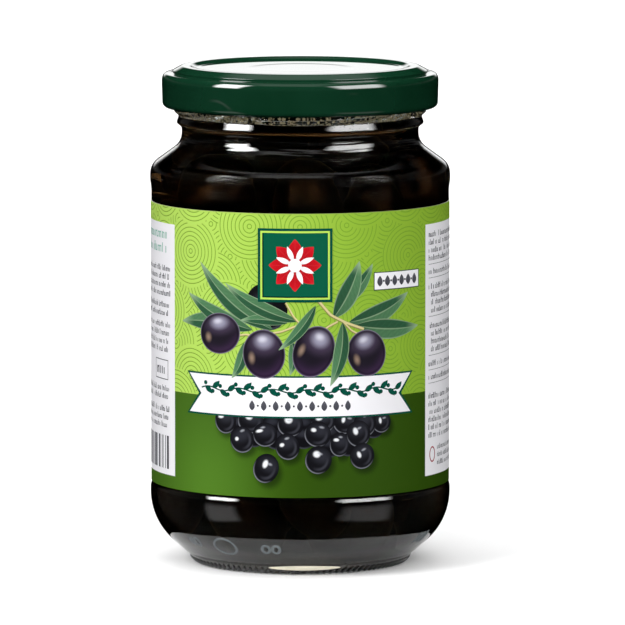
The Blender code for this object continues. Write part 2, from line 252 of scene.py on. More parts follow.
def ramp(tree: bpy.types.NodeTree, value: bpy.types.NodeSocket, low: float, high: float,
         start: float = 0.0, end: float = 1.0) -> bpy.types.NodeSocket:
    """Adds a smooth ramp of a value, from start at low to end at high, and gives its output."""
    return add_node(tree, "ShaderNodeMapRange",
                    {"Value": value, "From Min": low, "From Max": high, "To Min": start, "To Max": end},
                    interpolation_type="SMOOTHSTEP").outputs["Result"]


def maths(tree: bpy.types.NodeTree, operation: str, first: bpy.types.NodeSocket,
          second: bpy.types.NodeSocket | float = 0.0) -> bpy.types.NodeSocket:
    """Adds a node that works out an operation on one or two values, and gives its output."""
    return add_node(tree, "ShaderNodeMath", {0: first, 1: second}, operation=operation).outputs["Value"]


@dataclass(frozen=True)
class Finish:
    """A principled finish: constant values on the shader's own sockets, and relief from noise."""

    name: str
    colour: str
    roughness: float
    ior: float = 1.5
    transmission: float = 0.0
    coat: float = 0.0
    coat_roughness: float = 0.05
    specular: float = 0.5
    specular_tint: str = "ffffff"
    relief_mm: float = 0.0
    relief_grain_mm: float = 1.0
    mottle: str = ""
    mottle_grain_mm: float = 3.0
    ink: bool = False

    def build(self) -> bpy.types.Material:
        """Makes the material's nodes.

        Returns:
            The material, whose patterns follow Object coordinates or the attribute named ink.
        """
        material = bpy.data.materials.new(self.name)
        material.use_nodes = True
        tree = material.node_tree
        shader = tree.nodes["Principled BSDF"]
        sockets = {"Base Color": (*linear(self.colour), 1), "Roughness": self.roughness, "IOR": self.ior,
                   "Transmission Weight": self.transmission, "Specular IOR Level": self.specular,
                   "Specular Tint": (*linear(self.specular_tint), 1), "Coat Weight": self.coat,
                   "Coat Roughness": self.coat_roughness}
        for socket, value in sockets.items():
            shader.inputs[socket].default_value = value
        place = add_node(tree, "ShaderNodeTexCoord").outputs["Object"]
        if self.mottle:
            noise = add_node(tree, "ShaderNodeTexNoise",
                             {"Vector": place, "Scale": 1 / (self.mottle_grain_mm * MM), "Detail": 3.0})
            spread = add_node(tree, "ShaderNodeMapRange",
                              {"Value": noise.outputs["Fac"], "From Min": 0.35, "From Max": 0.65})
            mix = add_node(tree, "ShaderNodeMix",
                           {"Factor": spread.outputs["Result"], "A": (*linear(self.colour), 1),
                            "B": (*linear(self.mottle), 1)}, data_type="RGBA")
            tree.links.new(mix.outputs["Result"], shader.inputs["Base Color"])
        if self.ink:
            ink = add_node(tree, "ShaderNodeAttribute", attribute_name="ink")
            tree.links.new(ink.outputs["Color"], shader.inputs["Base Color"])
        if self.relief_mm:
            noise = add_node(tree, "ShaderNodeTexNoise",
                             {"Vector": place, "Scale": 1 / (self.relief_grain_mm * MM), "Detail": 4.0})
            bump = add_node(tree, "ShaderNodeBump",
                            {"Height": noise.outputs["Fac"], "Strength": 1.0,
                             "Distance": self.relief_mm * MM})
            tree.links.new(bump.outputs["Normal"], shader.inputs["Normal"])
        return material


# Pressed and blown flint glass: clear, a trace of grey green, faint waves from the mould
FLINT_GLASS = Finish("flint_glass", "f3f7f5", 0.0, ior=1.52, transmission=1.0, relief_mm=0.012,
                     relief_grain_mm=9.0)
# The same glass where brine wets its inside, which takes away nearly all of the mirroring there
WET_GLASS = Finish("flint_glass_wet_inside", "f3f7f5", 0.0, ior=1.52, specular_tint="181818",
                   transmission=1.0)
# The same glass on the upper contact ridge, its mirroring painted dark by a near black specular tint:
# painted shade over the ridge's highlight, so it hardly mirrors
RIDGE_PAINTED_DIM_GLASS = Finish("flint_glass_ridge_painted_dim", "f3f7f5", 0.0, ior=1.52, specular_tint="101010",
                       transmission=1.0)
# Raised mould marks and knurls, painted opaque satin grey: painted light for the light that their steep
# sides catch in the clear glass, so they read as grey satin lines
MOULDED_GLASS = Finish("flint_glass_moulded_marks", "646b6e", 0.22, ior=1.52, specular=0.35)
# Knurls at the foot, painted near black: painted shade for the dark depth of the thick base seen through them
KNURLED_GLASS = Finish("flint_glass_knurls", "0c0f10", 0.16, ior=1.52, specular=0.8)
# Bead at the joint of the mould's foot, painted creamy white: a painted glow for the table's light in the
# foot
FOOT_GLOW_GLASS = Finish("flint_glass_foot_painted_glow", "f8f2dc", 0.2, ior=1.52, transmission=0.3)
# Brine of blackened olives: clear dark brown liquid
BRINE = Finish("dark_brine", "47301a", 0.0, ior=1.35, specular_tint="181818", transmission=1.0)
# Fine condensed water drops in the neck, painted a cloudy warm cream: painted light for the brine's warm glow
CONDENSED_WATER = Finish("condensed_water", "e6d5ae", 0.1, ior=1.33, transmission=0.6)
# Skin of an olive blackened in brine: dark brown to black, wet, finely dimpled
OLIVE_SKIN = Finish("blackened_olive_skin", "1a100b", 0.28, ior=1.4, mottle="2e2012", mottle_grain_mm=7.0,
                    relief_mm=0.08, relief_grain_mm=1.2)
# Core of the heap, olives deep in the jar painted near black: painted shade where little light reaches
OLIVE_CORE = Finish("olives_deep_in_the_jar", "0a0705", 0.6, mottle="120c08", mottle_grain_mm=9.0)
# Tinplate lid, dark green stoved lacquer: glossy, with slight orange peel
GREEN_LACQUER = Finish("green_stoved_lacquer", "0b2f1d", 0.5, specular=0.0, coat=1.0, coat_roughness=0.015,
                       relief_mm=0.003, relief_grain_mm=2.2, mottle="0f3422", mottle_grain_mm=16.0)
# Coated label paper printed light green: satin, with fine tooth
LABEL_PAPER = Finish("coated_label_paper", "f4f4f0", 0.55, ior=1.45, specular=0.04, mottle="f0f0ec",
                     mottle_grain_mm=2.0, relief_mm=0.004, relief_grain_mm=0.35)
# Offset ink on the label, its colours held in the mesh
LABEL_INK = Finish("offset_ink", "ffffff", 0.55, ior=1.45, specular=0.04, ink=True, relief_mm=0.004,
                   relief_grain_mm=0.35)


# Raised marks on the heel: angle, distance down the slope, half sizes, lean, width of the line
HEEL_MARKS = ((-52.0, -2.4, (0.5, 1.2), 0, 0.8), (-48.5, -2.4, (0.8, 1.3), 0, 0.7),
              (-33.6, -1.7, (3.0, 2.7), 0, 0.66), (-14.6, -1.7, (0.9, 1.3), 0, 0.8),
              (-10.2, -1.7, (0.9, 1.3), 0, 0.8), (58.6, -2.9, (0.3, 1.6), 25, 0.6),
              (61.6, -2.9, (0.3, 1.6), 25, 0.6), (64.6, -2.9, (0.3, 1.6), 25, 0.6))


@dataclass
class JarGlass:
    """The hollow glass jar, turned from one section, with thread, knurled foot and mould marks."""

    mouth_top: float = 117.2
    bore_radius: float = 26.4
    finish_radius: float = 29.3
    bead_radius: float = 29.8
    bead_z: float = 106.75
    bead_round: float = 0.45
    bead_tilt: float = 19.0
    neck_radius: float = 28.6
    neck_top_z: float = 105.1
    neck_foot_z: float = 104.2
    slope: float = 54.0
    shoulder_hollow: float = 4.5
    shoulder_round: float = 5.58
    shoulder_bend: float = 4.0
    ridge_turn: float = 6.0
    ridge_soft: float = 12.0
    ridge_radius: float = 36.27
    panel_radius: float = 35.96
    panel_top_z: float = 90.2
    panel_foot_z: float = 19.7
    low_ridge_z: float = 17.1
    low_ridge_top_z: float = 18.2
    heel_round: float = 15.5
    heel_slope: float = 48.0
    foot_round: float = 1.5
    bearing_inner: float = 22.0
    inner_radius: float = 33.7
    inner_neck_foot_z: float = 103.0
    inner_slope: float = 58.0
    inner_heel_top_z: float = 18.0
    floor_edge: tuple[float, float] = (20.0, 5.4)
    floor_middle_z: float = 6.4
    threads: int = 4
    thread_start: float = -22.0
    thread_span: float = 86.0
    thread_foot_z: float = 109.45
    thread_rise: float = 4.0
    thread_height: float = 1.15
    brine_z: float = 107.5
    ripple: float = 0.022
    ripple_pitch: float = 0.85
    groove: tuple[float, float, float] = (2.35, 0.32, 0.26)
    painted_dim_band: tuple[float, float] = (89.0, 96.4)
    knurls: int = 104
    steps: int = 300

    def hollow(self, floor_steps: int = 14, bend_steps: int = 8) -> Array:
        """Inside of the glass, from the middle of the floor up to the foot of the bore."""
        floor = quarter_ellipse(self.floor_edge, (self.inner_radius, self.inner_heel_top_z), floor_steps)
        shoulder = s_bend((self.bore_radius, self.inner_neck_foot_z), self.inner_radius, 6.2, 2.2,
                          self.inner_slope, bend_steps)
        return chain([(0, self.floor_middle_z)], floor, shoulder[::-1])

    def bead(self) -> Array:
        """Bead under the finish: a straight slope outwards, then a round edge that turns under."""
        tilt, edge = self.bead_tilt, self.bead_round
        lean = math.radians(tilt)
        middle = self.bead_radius - edge
        start = np.array([middle + edge * math.cos(lean), self.bead_z + edge * math.sin(lean)])
        rise = (start[0] - self.finish_radius) / math.tan(lean)
        top = np.array([self.finish_radius, start[1] + rise])
        t = np.array([0, 0.08, 0.3, 0.55, 0.8])[:, None]
        under = arc((middle, self.bead_z), edge, tilt, -78, 7)
        return chain([top + (0, 0.25)], top + (start - top) * t, under,
                     [(self.neck_radius + 0.1, self.neck_top_z + 0.5)])

    def shoulder(self) -> Array:
        """Outside of the shoulder: a hollow, a straight slope, a tight bend and a slow turn to upright."""
        bend, slow = self.shoulder_bend, self.ridge_turn
        shoulder = s_bend((self.neck_radius, self.neck_foot_z), self.ridge_radius, self.shoulder_hollow,
                          self.shoulder_round, self.slope, 10)
        end = shoulder[-1]
        below = arc((end[0] - self.ridge_soft, end[1]), self.ridge_soft, slow, 0, 5)
        corner = np.array([math.cos(math.radians(slow)), math.sin(math.radians(slow))])
        tight = arc(below[0] - bend * corner, bend, self.slope, slow, 12)
        rise = tight[0] - shoulder[10]
        straight = [shoulder[10] + rise * part for part in (0.33, 0.66)]
        return chain(shoulder[:11], straight, tight, below)

    def heel(self) -> Array:
        """Outside from the lower ridge down to the ring that the jar stands on."""
        heel = arc((self.ridge_radius - self.heel_round, self.low_ridge_z), self.heel_round, 0,
                   -self.heel_slope, 22)
        turn = math.radians(self.heel_slope)
        foot_z = self.foot_round * (1 - math.sin(turn))
        foot_radius = heel[-1, 0] - (heel[-1, 1] - foot_z) * math.tan(turn)
        centre = (foot_radius - self.foot_round * math.cos(turn), self.foot_round)
        return chain(heel, arc(centre, self.foot_round, -self.heel_slope, -90, 6))

    def section(self) -> Array:
        """Whole section: up the inside, over the mouth, down the outside and under to the middle."""
        lip = (self.finish_radius - self.bore_radius) / 2
        mouth = arc((self.bore_radius + lip, self.mouth_top - lip), lip, 180, 0, 8)
        shoulder = self.shoulder()
        ridge_z = shoulder[-1, 1]
        fade = np.linspace(0, 1, 7)
        ease = (1 - np.cos(fade * math.pi)) / 2
        upper = np.stack([self.ridge_radius - (self.ridge_radius - self.panel_radius) * ease,
                          ridge_z - (ridge_z - self.panel_top_z) * fade], 1)
        lower = np.stack([self.panel_radius + (self.ridge_radius - self.panel_radius) * ease,
                          self.panel_foot_z - (self.panel_foot_z - self.low_ridge_top_z) * fade], 1)
        base = [(self.bearing_inner, 0), (20.5, 0.9), (12, 2.0), (0, 2.6)]
        section = chain(self.hollow(), mouth, self.bead(), [(self.neck_radius, self.neck_top_z)], shoulder,
                        upper, lower, self.heel(), base)
        outer = np.arange(len(section)) > len(self.hollow()) + 4
        whole = refined(section[outer], 0.4, 106, self.mouth_top)
        whole = refined(whole, 0.17, 99.6, 105.2)
        whole = refined(whole, 0.16, 1.6, 3.1)
        return chain(section[~outer], whole)

    def thread_lift(self, height: Array, angle: Array) -> Array:
        """Height of the thread: a ridge for each start, tapered at both ends.

        It runs level first, where the lug rests, and climbs by the fourth power of its length.
        """
        lift = np.zeros_like(height)
        for index in range(self.threads):
            start = math.radians(self.thread_start + index * 360 / self.threads)
            turned = np.mod(angle - start + math.pi, 2 * math.pi) - math.pi
            turned = np.where(turned < -0.5, turned + 2 * math.pi, turned)
            along = turned / math.radians(self.thread_span)
            middle = self.thread_foot_z + self.thread_rise * along ** 4
            taper = smoothstep(0, 0.14, along) * smoothstep(0, 0.14, 1 - along)
            lift = np.maximum(lift, self.thread_height * taper * np.exp(-((height - middle) / 0.75) ** 2))
        return lift

    def build(self) -> bpy.types.Object:
        """Turns the section and lifts the thread out of it.

        Faint ripples run round the neck's hollow, and a fine groove above the foot ring.
        """
        section = self.section()
        ring = section[1:-1]
        mouth_row = int(np.argmax(ring[:, 1]))

        def lift(rows: Array, angles: Array) -> Array:
            height = ring[rows, 1]
            outside = rows > mouth_row
            thread = self.thread_lift(height, angles) * (outside & (height > 107.4))
            window = smoothstep(99.8, 100.8, height) * smoothstep(105.0, 104.2, height)
            wave = height * 2 * math.pi / self.ripple_pitch + 1.6 * np.sin(angles * 5)
            ripple = self.ripple * window * np.sin(wave) * (0.65 + 0.35 * np.sin(angles * 11 + height))
            middle, depth, width = self.groove
            groove = depth * np.exp(-((height - middle) / width) ** 2)
            return thread + (ripple - groove) * outside

        points, faces = turned_mesh(section, self.steps, lift)
        shell = put_mesh("jar_glass_shell", points, faces, FLINT_GLASS.build())
        shell.data.materials.append(WET_GLASS.build())
        wet_rows = int(np.argmax(ring[:, 1] > self.brine_z))
        wet = np.zeros(len(faces), np.int32)
        wet[:wet_rows * self.steps] = 1
        quads = (len(ring) - 1) * self.steps
        wet[quads:quads + self.steps] = 1
        # Painted shade: on a band of the upper ridge a dark specular tint paints out the highlight
        shell.data.materials.append(RIDGE_PAINTED_DIM_GLASS.build())
        low, high = self.painted_dim_band
        painted_dim_rows = (ring[:-1, 1] > low) & (ring[:-1, 1] < high) & (np.arange(len(ring) - 1) > mouth_row)
        wet[:quads][np.repeat(painted_dim_rows, self.steps)] = 2
        shell.data.polygons.foreach_set("material_index", wet)
        return shell

    def on_heel(self, angle: Array, down: Array) -> tuple[Array, Array]:
        """Points on the heel, and their outward normals.

        Args:
            angle: angles round the jar, in radians.
            down: distances along the profile from the foot of its round part, positive down its straight
                part, in millimetres.
        """
        slope = math.radians(self.heel_slope)
        turn = slope + np.minimum(down, 0) / self.heel_round
        straight = np.maximum(down, 0)
        radius = self.ridge_radius - self.heel_round * (1 - np.cos(turn)) - straight * math.sin(slope)
        height = self.low_ridge_z - self.heel_round * np.sin(turn) - straight * math.cos(slope)
        return around_axis(radius, angle, height), around_axis(np.cos(turn), angle, -np.sin(turn))

    def raised_ring(self, angle: float, down: float, half: tuple[float, float], lean: float,
                    line: float) -> tuple[Array, list]:
        """A raised closed line on the heel: a flat oval tube, half of it in the glass, along an ellipse.

        Args:
            angle: middle of the ellipse round the jar, in degrees.
            down: its distance down the slope, in millimetres.
            half: its half sizes, across and along the slope.
            lean: its lean in degrees.
            line: width of the line.
        """
        along, sides = 56, 8
        turn, across = full_turn(along)[:, None], full_turn(sides)[None, :]
        tilt = math.radians(lean)
        grow = line / 2 * np.cos(across)
        x, y = (half[0] + grow) * np.cos(turn), (half[1] + grow) * np.sin(turn)
        shift = x * math.cos(tilt) - y * math.sin(tilt)
        drop = down + x * math.sin(tilt) + y * math.cos(tilt)
        base, normal = self.on_heel(math.radians(angle) + shift / 32.0, drop)
        points = base + normal * (0.13 * np.sin(across) * np.ones_like(turn))[..., None]
        quads = grid_quads(along + 1, sides, True)[:, ::-1] % (along * sides)
        return points.reshape(-1, 3), quads.tolist()

    def build_marks(self) -> bpy.types.Object:
        """Raised mould marks on the heel: a ring with dots on both sides of it, and three slanted bars."""
        return put_mesh("heel_marks", *merged([self.raised_ring(*mark) for mark in HEEL_MARKS]),
                        MOULDED_GLASS.build())

    def build_knurls(self) -> bpy.types.Object:
        """Fine slanted studs round the foot: eight sided domes, half of each in the glass."""
        ring = self.section()
        foot = ring[np.argmin(np.abs(ring[:, 1] - 0.75) + 100 * (ring[:, 0] < self.bearing_inner + 1))]
        rows, sides = 5, 8
        turn = full_turn(self.knurls, -math.pi)[:, None, None]
        polar = np.linspace(0, math.pi, rows + 2)[None, 1:-1, None]
        around = full_turn(sides)[None, None, :]
        out, side = 0.42 * np.cos(around) * np.sin(polar), 0.42 * np.sin(around) * np.sin(polar)
        up = 0.75 * np.cos(polar) * np.ones_like(around)
        side = side + 0.6 * up
        radius = foot[0] + 0.24 + out + 0.95 * up
        angle = turn + side / foot[0]
        height = np.maximum(foot[1] + up, 0.02)
        stud = capped_faces(rows, sides)
        studs = [(points.reshape(-1, 3), stud) for points in around_axis(radius, angle, height)]
        return put_mesh("foot_knurls", *merged(studs), KNURLED_GLASS.build())

    def build_foot_bead(self, middle: float = 2.4, reach: float = 18.5) -> bpy.types.Object:
        """The mould's joint in front of the foot: a bead of glass painted creamy white, a painted glow for
        the table.

        Its section is an oval that tapers to both ends by the root of the cosine over its reach.

        Args:
            middle: angle of its middle round the jar, in degrees.
            reach: angle from its middle to each end.
        """
        rows, sides = 61, 12
        turn, around = np.linspace(-1, 1, rows)[:, None], full_turn(sides)[None, :]
        size = np.sqrt(np.cos(turn * math.pi / 2 * 0.985))
        middle_z = 1.68
        slope = math.radians(self.heel_slope)
        edge, _ = self.on_heel(np.zeros(1), np.zeros(1))
        wall = -edge[0, 1] - (edge[0, 2] - middle_z) * math.tan(slope)
        radius = wall + 0.32 + 0.42 * np.cos(around) * size + 0.36 * np.sin(around) * size
        height = middle_z + 0.62 * np.sin(around) * size
        grid = around_axis(radius, np.radians(middle + turn * reach), height)
        return put_mesh("foot_bead", grid.reshape(-1, 3), capped_faces(rows, sides), FOOT_GLOW_GLASS.build())


@dataclass
class Contents:
    """What fills the jar: brine, the settled olives and the dark core between them."""

    glass: JarGlass
    length: float = 20.4
    width: float = 15.4
    count: int = 72
    clearance: float = 0.45
    heap_foot_z: float = 15.0
    heap_top_z: float = 104.5
    settle_steps: int = 360
    wall_push: float = 1.5
    give: float = 0.35
    drops: int = 3400
    seed: int = 7

    def wall_distance(self, radii: Array, heights: Array, wall: Array) -> tuple[Array, Array]:
        """Distance of points from the wall line, positive inside, and the way inwards from it."""
        start = wall[:-1]
        run = wall[1:] - start
        points = np.stack([radii, heights], 1)[:, None, :]
        along = np.clip(((points - start) * run).sum(2) / (run ** 2).sum(1), 0, 1)
        away = points - start - along[..., None] * run
        distance = np.sqrt((away ** 2).sum(2))
        nearest = distance.argmin(1)
        rows = np.arange(len(radii))
        normal = np.stack([-run[nearest, 1], run[nearest, 0]], 1)
        normal /= np.linalg.norm(normal, axis=1)[:, None]
        side = np.where((away[rows, nearest] * normal).sum(1) < 0, -1.0, 1.0)
        return side * distance[rows, nearest], normal

    def settled(self) -> tuple[Array, Array]:
        """Lets the olives grow inside the jar and push each other apart until they fit.

        An olive is five balls in a row. Each step moves and turns every olive by what its balls overlap
        other olives and the wall, so it rests against its neighbours and the glass.

        Returns:
            The olives' centres and unit axes.
        """
        random = np.random.default_rng(self.seed)
        bore = self.glass.bore_radius
        wall = chain(self.glass.hollow(5, 3), [(bore, self.heap_top_z), (0, self.heap_top_z)])
        half_width = self.width / 2
        places = np.array([-0.51, -0.265, 0, 0.265, 0.51]) * self.length / 2
        sizes = np.array([0.65, 0.9, 1, 0.9, 0.65]) * half_width
        heights = random.uniform(self.heap_foot_z, self.heap_top_z - half_width, self.count)
        spread = (bore - 0.3) * np.sqrt(random.uniform(0, 1, self.count))
        turn = random.uniform(0, 2 * math.pi, self.count)
        centres = np.stack([spread * np.cos(turn), spread * np.sin(turn), heights], 1)
        axes = random.normal(size=(self.count, 3))
        axes /= np.linalg.norm(axes, axis=1)[:, None]
        owner = np.repeat(np.arange(self.count), len(places))
        place = np.tile(places, self.count)[:, None]
        others = owner[:, None] != owner[None, :]
        for step in range(self.settle_steps):
            grown = min(1, 0.4 + step / self.settle_steps)
            size = np.tile(sizes, self.count) * grown
            arms = axes[owner] * place * grown
            balls = centres[owner] + arms
            between = balls[:, None, :] - balls[None, :, :]
            distance = np.sqrt((between ** 2).sum(2)) + 1e-6
            depth = np.maximum(size[:, None] + size[None, :] - distance, 0) * others
            push = (between / distance[..., None] * (depth / 2)[..., None]).sum(1)
            radii = np.hypot(balls[:, 0], balls[:, 1]) + 1e-6
            room, inwards = self.wall_distance(radii, balls[:, 2], wall)
            short = np.maximum(size + self.clearance - room, 0) * self.wall_push
            sideways = balls[:, :2] / radii[:, None] * (inwards[:, 0] * short)[:, None]
            push += np.column_stack([sideways, inwards[:, 1] * short])
            touching = (depth > 0).sum(1) + (short > 0)
            push /= np.sqrt(np.maximum(touching, 1))[:, None]
            shift = np.zeros_like(centres)
            np.add.at(shift, owner, push)
            twist = np.zeros_like(centres)
            np.add.at(twist, owner, np.cross(arms, push))
            centres += shift * self.give
            axes += np.cross(twist / half_width ** 2 * self.give, axes)
            axes /= np.linalg.norm(axes, axis=1)[:, None]
        return centres, axes

    def one_olive(self, random: np.random.Generator) -> tuple[Array, list]:
        """One pitted olive: an egg on its axis with a round pit hole at one end and a puckered tip.

        At polar angle a from the hole, the radius is half_width sin(a)^0.94 and the height half_length
        cos(a), blunter towards the hole; near the hole the height sinks by a rounded cone.
        """
        across, rings = 28, 18
        polar = np.linspace(0, math.pi, rings)
        scale = random.uniform(0.93, 1.02)
        blunt = random.uniform(0.9, 1.06)
        radius = self.width / 2 * scale * np.sin(polar) ** 0.94
        height = self.length / 2 * scale * np.cos(polar) * np.where(polar < math.pi / 2, blunt, 1.0)
        hole = random.uniform(1.6, 2.3)
        height -= 4.0 * np.clip(1 - radius / hole, 0, 1) * (polar < 1.0)
        turn = full_turn(across)
        waves = 0.12 * np.sin(turn * 3 + random.uniform(0, 6))
        waves += 0.08 * np.sin(turn * 5 + random.uniform(0, 6))
        spread = radius[1:-1, None] + waves[None, :] * np.sin(polar[1:-1, None])
        grid = np.stack([spread * np.cos(turn), spread * np.sin(turn),
                         np.repeat(height[1:-1, None], across, 1)], -1).reshape(-1, 3)
        points = np.concatenate([grid, [[0, 0, height[0]], [0, 0, height[-1]]]])
        return points, poled_faces(rings - 2, across)

    def build_olives(self) -> bpy.types.Object:
        """Puts an olive at every settled place, its axis turned by the rotation from +Z to the axis."""
        random = np.random.default_rng(self.seed + 1)
        olives = []
        for centre, axis in zip(*self.settled()):
            points, faces = self.one_olive(random)
            turn = np.array(Vector((0, 0, 1)).rotation_difference(Vector(axis)).to_matrix())
            olives.append((points @ turn.T + centre, faces))
        return put_mesh("black_olives", *merged(olives), OLIVE_SKIN.build())

    def build_core(self) -> bpy.types.Object:
        """The heap's core: a turned body, bumped by the sine of angle and height, inside the olives."""
        wide = self.glass.inner_radius - 7.5
        profile = refined(chain([(0, 96)], [(16, 96)], [(wide - 2, 88)], [(wide, 80)], [(wide, 24)],
                                [(20, 13)], [(0, 12)]), 3.0, 0, 100)
        ring = profile[1:-1]

        def lift(rows: Array, angles: Array) -> Array:
            return 1.2 * np.sin(angles * 9 + ring[rows, 1] * 0.9) * np.sin(ring[rows, 1] * 0.42)

        points, faces = turned_mesh(profile, 96, lift)
        return put_mesh("heap_core", points, faces, OLIVE_CORE.build())

    def build_brine(self) -> bpy.types.Object:
        """Brine up to its level, 0.12 mm into the glass all round, with a meniscus that climbs 0.8 mm."""
        sink = 0.12
        inside = self.glass.hollow()[::-1]
        wall = chain([(self.glass.bore_radius, self.glass.brine_z + 0.8)], inside)
        wall = wall + sink * left_normals(wall)
        wall[-1] = (0, self.glass.floor_middle_z - sink)
        edge = self.glass.bore_radius + sink
        out = np.linspace(0, 1, 24)
        top = np.stack([edge * out, self.glass.brine_z + 0.8 * np.exp((out - 1) * edge / 1.6)], 1)
        points, faces = turned_mesh(chain(top, wall[1:]), 192)
        return put_mesh("brine", points, faces, BRINE.build())

    def build_drops(self) -> bpy.types.Object:
        """Condensed drops on the bore above the brine: half domes sunk 0.05 mm into the glass."""
        random = np.random.default_rng(self.seed + 2)
        count, across, rings = self.drops, 7, 3
        angle = random.uniform(-math.pi, math.pi, count)
        kept = random.uniform(0, 1, count) < 0.5 + 0.5 * smoothstep(0.3, 0.65, np.abs(angle - 0.12))
        angle = angle[kept]
        count = len(angle)
        height = random.uniform(self.glass.brine_z + 0.5, self.glass.brine_z + 5.2, count)
        size = 0.10 + 0.26 * random.power(2.2, count)[:, None, None] ** 2.0
        polar = np.linspace(0.15, math.pi / 2, rings)[:, None]
        turn = full_turn(across)[None, :]
        rise = np.cos(polar) * np.ones_like(turn)
        radius = self.glass.bore_radius + 0.05 - size * rise * 0.7
        around = angle[:, None, None] + size * np.sin(polar) * np.cos(turn) / self.glass.bore_radius
        up = height[:, None, None] + size * np.sin(polar) * np.sin(turn)
        drop = capped_faces(rings, across, flipped=True)
        drops = [(points.reshape(-1, 3), drop) for points in around_axis(radius, around, up)]
        return put_mesh("condensed_drops", *merged(drops), CONDENSED_WATER.build())


@dataclass
class TwistLid:
    """The pressed twist-off lid."""

    top: float = 120.4
    panel_z: float = 119.75
    button_radius: float = 10.0
    button_height: float = 0.04
    panel_radius: float = 24.6
    crest: tuple[float, float] = (26.8, 28.3)
    crest_slope: float = 62.0
    crest_foot: tuple[float, float] = (30.7, 118.72)
    fold_round: float = 0.14
    corner: tuple[float, float] = (32.2, 118.58)
    skirt_radius: float = 33.4
    corner_round: tuple[float, float] = (1.0, 1.75)
    curl_round: float = 1.15
    curl_z: float = 111.55
    sheet: float = 0.35
    seat: tuple[float, float, float] = (25.0, 30.2, 117.5)
    lugs: int = 4
    lug_angle: float = -38.0
    lug_half_angle: float = 9.5
    lug_reach: float = 0.8
    steps: int = 384

    def section(self) -> Array:
        """Section: out over the top, down the skirt, round the curl and back under the top."""
        def ease(start: tuple, end: tuple, steps: int) -> Array:
            t = np.linspace(0, 1, steps + 1)
            s = (1 - np.cos(t * math.pi)) / 2
            return np.stack([start[0] + (end[0] - start[0]) * t, start[1] + (end[1] - start[1]) * s], 1)

        raised = self.panel_z + self.button_height
        button = ease((self.button_radius, raised), (self.button_radius + 3.5, self.panel_z), 8)
        rise = ease((self.panel_radius, self.panel_z), (self.crest[0], self.top), 10)
        slope = math.radians(self.crest_slope)
        brow = arc((self.crest[1], self.top - 1.2), 1.2, 90, self.crest_slope, 6)
        soft = self.fold_round
        reach = self.crest_foot[0] - soft * (1 - math.cos(slope)) - brow[-1, 0]
        fold = (brow[-1, 0] + reach, brow[-1, 1] - reach / math.tan(slope))
        turned = arc((fold[0] - soft * math.cos(slope), fold[1] - soft * math.sin(slope)), soft,
                     self.crest_slope, -12, 8)
        fall = chain(brow, turned)
        across, down = self.corner_round
        bend = np.linspace(math.radians(80), 0, 10)
        corner = np.stack([self.skirt_radius - across + across * np.cos(bend),
                           self.corner[1] - down + down * np.sin(bend)], 1)
        curl = arc((self.skirt_radius - 0.15 - self.curl_round, self.curl_z), self.curl_round, 0, -250, 22)
        inner = self.skirt_radius - self.sheet
        under = self.panel_z - self.sheet
        inside = [(inner, self.curl_z + 1.9), (inner, self.corner[1] - 1.9),
                  (self.corner[0], self.seat[2] - 0.2), (self.seat[1], self.seat[2]),
                  (self.seat[0], self.seat[2]), (self.seat[0] - 0.6, under), (0, under)]
        foot = np.array(self.crest_foot)
        outside = chain([(0, raised)], [(5, raised)], button, rise, fall,
                        [foot + (0, 0.03), foot, foot + (0.04, -0.01), foot + (0.4, -0.1)], corner)
        return chain(refined(outside, 0.6, 0, 200), refined(chain(corner[-1:], curl[:1]), 0.35, 0, 200)[1:],
                     curl[1:], inside)

    def build(self) -> bpy.types.Object:
        """Turns the section, with lugs drawn in at the curl and the faint arch above each in the skirt."""
        section = self.section()
        ring = section[1:-1]
        lowest = int(np.argmin(ring[:, 1]))

        def lift(rows: Array, angles: Array) -> Array:
            step = 360 / self.lugs
            off = np.mod(np.degrees(angles) - self.lug_angle + step / 2, step) - step / 2
            height = ring[rows, 1]
            near = np.clip(1 - (off / self.lug_half_angle) ** 2, 0, 1)
            window = smoothstep(0, 0.35, near)
            inner_side = ((rows > lowest) & (height < self.curl_z + 0.6)
                          & (ring[rows, 0] < self.skirt_radius - 0.15 - 1.75 * self.curl_round))
            arch = smoothstep(-0.5, 0.4, self.curl_z - 0.2 + 2.6 * near - height)
            outer_side = (rows <= lowest) & (ring[rows, 0] > self.skirt_radius - 1.0) & (height < 116)
            facets = 0.018 * np.cos(angles * 24) * smoothstep(109.5, 112, height)
            return self.lug_reach * window * inner_side + (facets - 0.045 * arch * window) * outer_side

        points, faces = turned_mesh(section, self.steps, lift)
        return put_mesh("twist_lid", points, faces, GREEN_LACQUER.build())


@dataclass
class LabelFrame:
    """Where the label lies: arc length s from the front and height z give a point on the glass."""

    radius: float = 36.09
    thickness: float = 0.10
    foot_z: float = 19.9
    top_z: float = 87.9
    lap: float = 12.0
    ramp: float = 6.0
    level_height: float = 0.008

    def radius_at(self, angle: Array) -> Array:
        """Radius of the paper's face: it steps out where its last stretch laps over its first."""
        climb = np.clip((np.degrees(angle) - 180 + self.ramp) / self.ramp, 0, 1)
        return self.radius + climb * (self.thickness + 0.05)

    def place(self, s: Array, z: Array, level: float) -> Array:
        """Points on the printed face, raised by the ink's level."""
        angle = s / self.radius
        return around_axis(self.radius_at(angle) + level * self.level_height, angle, z)

    def build_paper(self) -> bpy.types.Object:
        """The strip: a grid round the paper's section, with rows close to its edges to keep them crisp."""
        angles = np.radians(np.linspace(-180, 180 + self.lap, 400))
        outer = self.radius_at(angles)
        inner = outer - self.thickness
        heights = [self.foot_z, self.foot_z + 0.03, self.top_z - 0.03, self.top_z]
        loop = [(outer, z) for z in heights] + [(inner, z) for z in heights[::-1]]
        grid = np.stack([around_axis(radius, angles, z) for radius, z in loop], 1)
        quads = grid_quads(len(angles), 8, True)
        last = (len(angles) - 1) * 8
        ends = [list(range(7, -1, -1)), [last + k for k in range(8)]]
        return put_mesh("label_paper", grid.reshape(-1, 3), quads.tolist() + ends, LABEL_PAPER.build())


